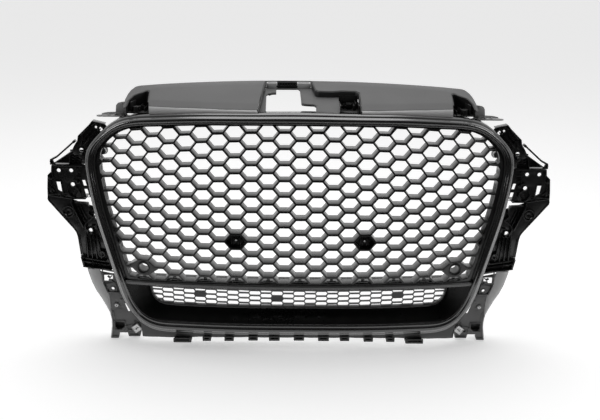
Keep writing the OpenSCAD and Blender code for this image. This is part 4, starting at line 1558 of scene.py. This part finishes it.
# ---------------------------------------------------------------- carrier, skirt and edge clips
@dataclass
class Carrier:
    """The satin frame behind the ring and the skirt and clips under it."""

    skirt_low: Line = field(default_factory=lambda: [(0, 35.5), (104, 33), (210, 25), (293, 13), (334, 8.5)])
    clip_count: int = 11

    def build(self) -> None:
        """Builds the frame, the skirt and the clips."""
        table = LINES.both()
        rows = []
        for share, depth in [(0.36, 6.5), (0.36, 40), (0.38, 43), (0.42, 44), (0.58, 44), (0.62, 43),
                             (0.64, 40), (0.64, 6.5)]:
            flat = table[:, :2] + (table[:, 2:] - table[:, :2]) * share
            rows.append(np.column_stack([flat[:, 0], np.full(len(flat), float(depth)), flat[:, 1]]))
        body = mapped(lofted("carrier_frame_look", np.array(rows), close_rows=True, close_cols=True),
                      FACE.on_face)
        deep = [self.deep_side(table, side) for side in Side]
        finished(joined("carrier_frame_look", [body, *deep]), SATIN, ["carrier_frame"], smooth=40)
        self.skirt()
        for number in range(1, self.clip_count + 1):
            self.clip(number)

    def deep_side(self, table: np.ndarray, side: Side) -> bpy.types.Object:
        """Builds the deeper wall at one side, that reaches the brackets.

        Args:
            table: the ring's outer and inner lines.
            side: which side.

        Returns:
            The wall.
        """
        flat = table[:, :2] + (table[:, 2:] - table[:, :2]) * 0.42
        keep = flat[(flat[:, 0] * side.value > 338) & (flat[:, 1] > 152)]
        keep = keep[np.argsort(keep[:, 1])]
        rows = []
        for shift, y in [(-1.2, None), (-1.2, 137), (-0.6, 139), (0.8, 139), (1.6, 137), (1.6, None)]:
            xs = keep[:, 0] + shift * side.value
            depth = FACE.depth(xs, keep[:, 1]) + 38 if y is None else np.full(len(keep), float(y))
            rows.append(np.column_stack([xs, np.maximum(depth, 0), keep[:, 1]]))
        body = closed_ends(lofted("carrier_deep", np.array(rows), close_rows=True, close_cols=False))
        return mapped(body, FACE.straight)

    def skirt(self) -> None:
        """Builds the skirt under the ring, with a rolled lower edge that waves between the clips."""
        xs = np.linspace(-333, 333, 149)
        side = np.abs(xs)
        top = np.interp(side, [0, 200, 293, 322, 334], [43.8, 36.8, 31.8, 39.5, 49])
        low = np.interp(side, *np.array(self.skirt_low).T)
        rows = []
        for share, depth in [(0, 2.6), (0.14, 2.1), (0.6, 2.3), (0.9, 3.0), (1.0, 4.2), (1.0, 8.4),
                             (0.93, 9.6), (0.5, 9.8), (0, 9.8)]:
            wave = 0.4 * (1 + np.cos(xs / 296 * math.pi * 12)) * share
            rows.append(np.column_stack([xs, np.full(len(xs), float(depth)),
                                         top + (low - top) * share + wave]))
        body = closed_ends(lofted("bottom_skirt_look", np.array(rows), close_rows=True, close_cols=False))
        finished(mapped(body, FACE.on_face), SKIRT, ["bottom_skirt"], smooth=34)

    @staticmethod
    def clip(number: int) -> None:
        """Builds one edge clip, a channel with ribs, a rounded nose and a rear hook.

        Args:
            number: the clip's number, from the left.
        """
        (x0, y0, z0), (x1, y1, z1) = node_box(f"bottom_clip_{number}")
        front = [(x0 + 0.2, z0 + 0.2), (x1 - 0.2, z0 + 0.2), (x1 - 0.2, z1 - 0.2), (x0 + 0.2, z1 - 0.2)]
        hole = [(x0 + 3.5, z0 + 4.6), (x1 - 3.5, z0 + 4.6), (x1 - 3.5, z0 + 7.4), (x0 + 3.5, z0 + 7.4)]
        mid = 0.5 * (x0 + x1)
        parts = [Plate(rounded(front, 1.8, 3), y0 + 0.2, 2.2, (hole,), 0.6),
                 Plate(rounded(front, 1.2, 2), y1 - 2.4, 2.2, (), 0.5),
                 Block((x0 + 0.2, y0 + 0.4, z0 + 0.2), (x1 - 0.2, y1 - 0.4, z0 + 3.6), 0.9),
                 Wall([(x0 + 4, z0 + 3), (x0 + 4, z1 - 1)], 1.3, y0 + 2, 18, 0.3),
                 Wall([(x1 - 4, z0 + 3), (x1 - 4, z1 - 1)], 1.3, y0 + 2, 18, 0.3),
                 Block((mid - 3, y0 + 0.1, z1 - 2.4), (mid + 3, y0 + 3.5, z1 - 0.3), 0.4)]
        body = mapped(joined("clip", [part.build() for part in parts]), FACE.straight)
        body.name = body.data.name = f"bottom_clip_look_{number}"
        finished(body, CLIP, [f"bottom_clip_{number}"], smooth=34)


# ---------------------------------------------------------------- top cover
@dataclass
class TopCover:
    """The cover panel with its lip, lock recess, pockets, tabs and flange plates."""

    crown: float = 4200.0
    rear_y: float = 200.0
    rear_z: float = 548.0
    slope: float = 0.25
    crease_y: float = 170.0
    drop: float = 12.0
    front_x: tuple[float, ...] = (0, 100, 200, 298, 336, 360)
    front_y: tuple[float, ...] = (56, 61, 75, 96, 107, 112)
    pocket: Line = field(default_factory=lambda: [(305, 98), (307.5, 128), (309, 158), (314, 164),
                                                  (320, 164), (343, 148), (351, 130),
                                                  (353, 111)])

    def height(self, x: np.ndarray, y: np.ndarray) -> np.ndarray:
        """Finds the height of the cover's top.

        Args:
            x: distance across the car.
            y: depth.

        Returns:
            The height.
        """
        side = np.abs(x)
        front = np.interp(side, self.front_x, self.front_y)
        bend = front + 20
        lift = 4.2 * np.clip((325 - side) / 25, 0, 1) * np.clip((side - 60) / 20, 0.35, 1)
        rise = np.where(y < self.crease_y, np.clip((y - bend) / (self.crease_y - bend), 0, 1),
                        1 - (y - self.crease_y) / (self.rear_y - self.crease_y))
        groove = 0.9 * np.exp(-((y - self.crease_y) / 1.6) ** 2) * (lift > 2)
        dip = 0.22 * np.maximum(bend - y, 0)
        roll = 0.010 * np.maximum(side - 333, 0) ** 2 + 0.03 * np.maximum(y - 192, 0) ** 2
        return (self.rear_z - self.slope * (self.rear_y - y) - (self.crown - np.sqrt(self.crown**2 - x**2))
                + lift * rise - dip - roll - groove)

    def under(self, shift: float) -> Mapping:
        """Gives the rule that lays plan-drawn pieces under the cover's top.

        Args:
            shift: how far below the top they start.

        Returns:
            The rule, from (x, depth below, y) to the row frame.
        """
        def rule(p: np.ndarray) -> np.ndarray:
            """Lays points on the cover.

            Args:
                p: points as (x, depth below the top, y), one a row.

            Returns:
                The points in the row frame.
            """
            z = self.height(p[:, 0], p[:, 2]) - p[:, 1] - shift
            return FACE.straight(np.column_stack([p[:, 0], p[:, 2], z]))
        return rule

    def build(self) -> None:
        """Builds the cover and everything in and round it."""
        half = [(0, 56), (50, 57.6), (100, 61), (150, 67), (200, 75), (250, 85), (298, 96), *self.pocket,
                (358, 114),
                (360, 122), (359, 150), (357, 170), (353, 184), (345, 194), (332, 199.6), (320, 200),
                (0, 200)]
        outline = mirrored(half)
        recess = [(-87, 57.5), (-75, 190), (-70, 197), (19, 197), (24, 191), (30, 147), (36, 142),
                  (112, 142), (119, 135), (119, 60)]
        cut = [p for p in outline if not (-89 < p[0] < 120 and p[1] < 90)]
        start = next(i for i, p in enumerate(cut) if p[0] > 0)
        ordered = cut[start:] + cut[:start]
        front_edge = float(np.interp(87, self.front_x, self.front_y)), float(np.interp(119, self.front_x,
                                                                                       self.front_y))
        ordered = ordered + [(-87.0, front_edge[0]), *recess[1:-1], (119.0, front_edge[1])]
        body = plate("top_cover_look", ordered, [], 3.0, 0.7)
        sliced(sliced(body, 0, 9.0), 2, 3.5)
        finished(mapped(body, self.under(0)), COVER, ["top_cover"], smooth=40)
        self.lips()
        self.lock_recess()
        self.catch()
        self.pockets()
        self.tabs()

    def lips(self) -> None:
        """Builds the sloping lip between the ring and the cover on each side."""
        for side in Side:
            start = 88 if side is Side.LEFT else 119
            xs = np.linspace(start, 304.5, 56)
            top_y = np.interp(xs, self.front_x, self.front_y)
            top_z = self.height(xs, top_y)
            low_z = np.interp(xs, [0, 100, 200, 298, 336, 355], [503, 501.5, 498.5, 491.5, 487.5,
                                                                 484.5]) - 2.5
            low_y = FACE.depth(xs, low_z) + 3.4
            rows = []
            for t, out in [(1.0, 3.4), (1.02, 0.6), (0.98, -0.5), (0.85, -1.6), (0.6, -2.3), (0.35, -1.6),
                           (0.1, -0.2), (0.0, 0.4), (0.0, 3.4)]:
                rows.append(np.column_stack([xs * side.value, low_y + (top_y - low_y) * t + out,
                                             low_z + (top_z - low_z) * t - 0.6]))
            body = closed_ends(lofted("cover_lip_look_" + side.suffix, np.array(rows), close_rows=True,
                                      close_cols=False))
            # The lips take the lightened grey: a painted highlight where they face the front light.
            finished(mapped(body, FACE.straight), PAINTED_LIGHT_GREY, ["cover_lip_" + side.suffix], smooth=45)

    def lock_recess(self) -> None:
        """Builds the recess step, its floor with the notch and slots, and the latch bridge."""
        left_line = [(-86, 58), (-74.5, 190), (-72, 197)]
        right_line = [(21, 197), (23, 190), (29.5, 147), (36, 141), (111, 141), (118, 134), (118, 62)]
        steps = [plate("step", wall_outline(line, 2.4), [], self.drop, 0.4, 1.2)
                 for line in (left_line, right_line)]
        body = sliced(joined("lock_recess_step_look", steps), 0, 9.0)
        # The step walls get a grey far darker than the cover: painted shade on the walls under the cover's
        # edge.
        finished(mapped(body, self.under(0)), Finish("recess_step", "grey_plastic", 0.035, roughness=0.45,
                                                     grain=0.15),
                 ["lock_recess_frame"], smooth=34)
        front = [(29, float(np.interp(29, self.front_x, self.front_y)) - 1),
                 (117, float(np.interp(117, self.front_x, self.front_y)))]
        left = float(np.interp(86, self.front_x, self.front_y))
        outline = [(-86, left), (-71, left - 2), (-71, 148), (-67, 154), (-51, 157), (-51, 182), (-6, 182),
                   (-2, 172), (0, 108),
                   (4, 104), (25, 102), (29, 96), *front, (117, 139), (34, 140), (29, 145), (22, 188),
                   (17, 194), (-69, 194), (-73, 190)]
        slots = [rounded([(x - w, 186), (x + w, 186), (x + w, 192), (x - w, 192)], 2.8, 4) for x,
                 w in ((-60, 9), (6, 12))]
        body = plate("lock_recess_floor_look", outline, [*slots, [(76, 74), (116, 74), (116, 138),
                                                                  (76, 138)]], 3.0, 0.6)
        sliced(body, 0, 12.0)
        parts, rims = [body], []
        for x, w in ((-60, 9), (6, 12)):
            rim = rounded([(x - w - 2, 184), (x + w + 2, 184), (x + w + 2, 194), (x - w - 2, 194)], 3.6, 4)
            hole = rounded([(x - w, 186), (x + w, 186), (x + w, 192), (x - w, 192)], 2.8, 4)
            rims.append(plate("slot_rims_look", rim, [hole], 11.0, 0.9, -10.5))
        parts.append(plate("notch_hook", wall_outline([(-66, 153), (-60, 158), (-51, 159)], 2.6), [], 5,
                           0.5, -1.5))
        parts.append(plate("notch_edge", wall_outline([(-1, 170), (1.5, 108), (6, 105.5), (26, 103.5),
                                                       (30.5, 97)], 2.2), [], 5, 0.5, -1.2))
        finished(mapped(joined("lock_recess_floor_look", parts), self.under(self.drop)), COVER,
                 ["lock_recess_floor"], smooth=34)
        # The slot rims take the lightened grey: painted light on rims that sit in shade.
        finished(mapped(joined("slot_rims_look", rims), self.under(self.drop)), PAINTED_LIGHT_GREY, [], smooth=34)
        z = float(self.height(np.array([-29.0]), np.array([188.0]))[0]) - self.drop + 1.2
        bars = [Block((-51, 184, z), (-7, 195, z + 3.0)), Block((-51, 190, z), (-7, 196.5, z + 9.6))]
        bars += [Block((-45.5 + i * 5.6, 184.6, z + 2), (-43.9 + i * 5.6, 191, z + 6.4),
                       0.3) for i in range(7)]
        Moulding("latch_bridge", SATIN, bars, both_sides=False).build()

    def catch(self) -> None:
        """Builds the catch pocket with its inner hook."""
        z0, z1 = 500.0, 517.5
        walls: list[Plate | Wall | Boss | Block] = [
            Block((76.4, 76.4, z0 + 0.2), (115.6, 138.6, z0 + 2.4)),
                                                    Block((76.4, 136.2, z0), (115.6, 138.6, z1 + 9)),
            Block((76.4, 76.4, z0), (78.6, 138.6, z1 - 2)), Block((113.4, 76.4, z0), (115.6, 138.6, z1 - 2)),
            Block((90, 112, z0 + 2), (102, 116, z0 + 15), 0.9), Block((91.5, 108, z0 + 10),
                                                                      (100.5, 112.5, z0 + 13), 0.8),
            Block((104, 96, z0 + 2), (106.2, 132, z0 + 13), 0.5), Block((84, 118, z0 + 2),
                                                                        (88, 121, z0 + 12), 0.6),
            Block((108, 100, z0 + 2), (109.6, 134, z0 + 17), 0.4), Block((80, 124, z0 + 2),
                                                                         (112, 126, z0 + 8), 0.5)]
        Moulding("catch_pocket", SATIN, walls, both_sides=False).build()

    def pockets(self) -> None:
        """Builds the dark pocket at each end of the cover, with its boss and ribs."""
        floor = 489.0
        line = [(307.5, 112), (308.5, 128), (310, 157), (315, 162.5), (319.5, 162.6), (342, 146.6),
                (349.4, 129.4), (351.5, 113)]
        body = plate("cover_pocket_wall", wall_outline(line, 2.0), [], 1.0, 0.0)

        def rise(p: np.ndarray) -> np.ndarray:
            """Stands the wall between the pocket's floor and the cover's top.

            Args:
                p: points as (x, 0 at the top or 1 at the floor, y), one a row.

            Returns:
                The points in the row frame.
            """
            z = np.where(p[:, 1] < 0.5, self.height(p[:, 0], p[:, 2]) - 0.8, floor)
            return FACE.straight(np.column_stack([p[:, 0], p[:, 2], z]))
        mapped(body, rise)
        base = plate("cover_pocket_floor", [(307, 113), *line[1:-1], (351, 113)], [], 2.6, 0.4)
        mapped(base, lambda p: FACE.straight(np.column_stack([p[:, 0], p[:, 2], floor + 2.8 - p[:, 1]])))
        boss = turned("pocket_boss", [(3.0, 1.2), (3.4, 0.3), (4.4, 0.0), (7.0, 0.0), (7.8, 0.4),
                                      (8.0, 1.4), (8.4, 12), (3.0, 12)],
                      (0, 0, 0), 36)
        mapped(boss, lambda p: FACE.straight(np.column_stack([p[:, 0] + 333, p[:, 2] + 124,
                                                              floor + 13.5 - p[:, 1]])))
        ribs = []
        for x0, y0, x1, y1, rise_to in ((343, 116, 337.5, 146, 21), (326, 118, 324, 156, 12),
                                        (316, 118, 315, 158, 9), (318, 140, 340, 136, 10)):
            rib = plate("pocket_rib", wall_outline([(x0, y0), (x1, y1)], 1.6), [], rise_to, 0.35)
            foot = floor + 2 + rise_to
            ribs.append(mapped(rib, lambda p, z=foot: FACE.straight(
                np.column_stack([p[:, 0], p[:, 2], z - p[:, 1]]))))
        twins(joined("cover_pocket_look", [body, base, boss, *ribs]), "cover_pocket", SATIN, 34)

    def tabs(self) -> None:
        """Builds the end tabs and the flange plates outside the ring's upper corners."""
        # The end tabs take the same lightened grey as the flange.
        Moulding("end_tab", FLANGE_PAINTED_LIGHT, [
            Plate(rounded([(354, 488), (377, 488), (375.5, 503), (371, 508), (361, 510), (354, 510)], 2.5,
                          3), 131, 3.0, (), 0.9),
            Plate(rounded([(354, 488), (377, 488), (376, 500), (371, 505), (354, 506)], 2.0, 3), 146.5, 3.0,
                  (), 0.7),
            Block((354, 131, 487.2), (377, 149, 489.6), 0.7), Wall([(362, 489), (362, 507)], 1.8, 133, 15,
                                                                   0.4),
            Wall([(371, 489), (371, 504)], 1.8, 133, 15, 0.4)]).build()
        plan = [(356, 149.6), (412, 149.6), (418.5, 141), (414, 137.5), (404, 136.4), (372, 136.4),
                (356, 137)]
        body = plate("flange_plate_top", rounded(plan, 2, 3), [], 3.0, 0.6)
        mapped(body, lambda p: FACE.straight(np.column_stack([p[:, 0], p[:, 2], 480.5 - p[:, 1]])))
        back = mapped(Plate([(356, 478.5), (409, 478.5), (408, 483), (396, 485.5), (356, 487.5)], 147, 2.6,
                            (), 0.6).build(), FACE.straight)
        ribs = [mapped(Wall([(x, 480), (x - 1, 485 - (x - 362) * 0.07)], 1.6, 138, 10, 0.4).build(),
                       FACE.straight) for x in (366, 380, 394)]
        # The flange plates take the same lightened grey as the flange.
        twins(joined("flange_plate_look", [body, back, *ribs]), "flange_plate", FLANGE_PAINTED_LIGHT, 34)


def camera_and_light() -> None:
    """Places the camera, the lights and the plain floor."""
    scene = bpy.context.scene
    cam = bpy.data.cameras.new("camera")
    cam.lens, cam.sensor_width = 56.9, 36
    view = bpy.data.objects.new("camera", cam)
    scene.collection.objects.link(view)
    turn, tilt, roll = math.radians(-1.16), math.radians(15.96), math.radians(0.79)
    target = Vector((-0.0006, -0.03, 0.3015))
    view.location = target + Vector((math.sin(turn) * math.cos(tilt), -math.cos(turn) * math.cos(tilt),
                                     math.sin(tilt))) * 1.929
    level = (target - view.location).to_track_quat("-Z", "Y").to_matrix()
    view.rotation_euler = (level @ Matrix.Rotation(roll, 3, "Z")).to_euler()
    scene.camera = view
    scene.world = studio_world()
    scene.view_settings.view_transform = "Standard"
    bpy.ops.object.select_all(action="DESELECT")
    bpy.ops.mesh.primitive_plane_add(size=1)
    floor = bpy.context.active_object
    floor.name = "studio_floor"
    mapped(floor, lambda p: p * np.array([40.0, 24.0, 0.0]) + np.array([0.0, 11.5, -0.0005]))
    mat = bpy.data.materials.new("floor_white")
    mat.use_nodes = True
    shader = mat.node_tree.nodes["Principled BSDF"]
    shader.inputs["Base Color"].default_value = (0.8, 0.8, 0.8, 1)
    shader.inputs["Roughness"].default_value = 0.9
    shader.inputs["Specular IOR Level"].default_value = 0.0
    shader.inputs["Emission Color"].default_value = (1, 1, 1, 1)
    shader.inputs["Emission Strength"].default_value = 0.42
    floor.data.materials.append(mat)
    for name, place, size, power in (("top_light", (0.0, 0.5, 2.6), 1.8, 18),
                                     ("left_light", (-2.2, -0.7, 1.6), 0.7, 9),
                                     ("right_light", (2.2, -0.7, 1.6), 0.7, 9)):
        lamp = bpy.data.lights.new(name, "AREA")
        lamp.size, lamp.energy = size, power
        obj = bpy.data.objects.new(name, lamp)
        scene.collection.objects.link(obj)
        obj.location = place
        obj.rotation_euler = (Vector((0, 0, 0.3)) - Vector(place)).to_track_quat("-Z", "Y").to_euler()


def studio_world() -> bpy.types.World:
    """Builds a world that is white behind and above the grille and dim in front of it.

    Returns:
        The world.
    """
    world = bpy.data.worlds.new("studio")
    world.use_nodes = True
    tree = world.node_tree
    split = tree.nodes.new("ShaderNodeSeparateXYZ")
    tree.links.new(tree.nodes.new("ShaderNodeTexCoord").outputs["Generated"], split.inputs[0])
    depth = tree.nodes.new("ShaderNodeMapRange")
    depth.interpolation_type = "SMOOTHSTEP"
    depth.inputs["From Min"].default_value, depth.inputs["From Max"].default_value = -0.5, 0.45
    depth.inputs["To Min"].default_value, depth.inputs["To Max"].default_value = 0.05, 0.9
    tree.links.new(split.outputs[1], depth.inputs["Value"])
    path = tree.nodes.new("ShaderNodeLightPath")
    mix = tree.nodes.new("ShaderNodeMix")
    tree.links.new(path.outputs["Is Camera Ray"], mix.inputs[0])
    tree.links.new(depth.outputs[0], mix.inputs[2])
    mix.inputs[3].default_value = 0.95
    tree.links.new(mix.outputs[0], tree.nodes["Background"].inputs[0])
    return world


def main() -> None:
    """Builds every piece of the visual model in order."""
    logging.basicConfig(level=logging.INFO, format="%(name)s: %(message)s")
    SurroundRing().build()
    Honeycomb().build()
    LowerIntake().build()
    Carrier().build()
    SideBracket().build()
    CornerBracket().build()
    TopCover().build()
    camera_and_light()


if __name__ == "__main__":
    main()
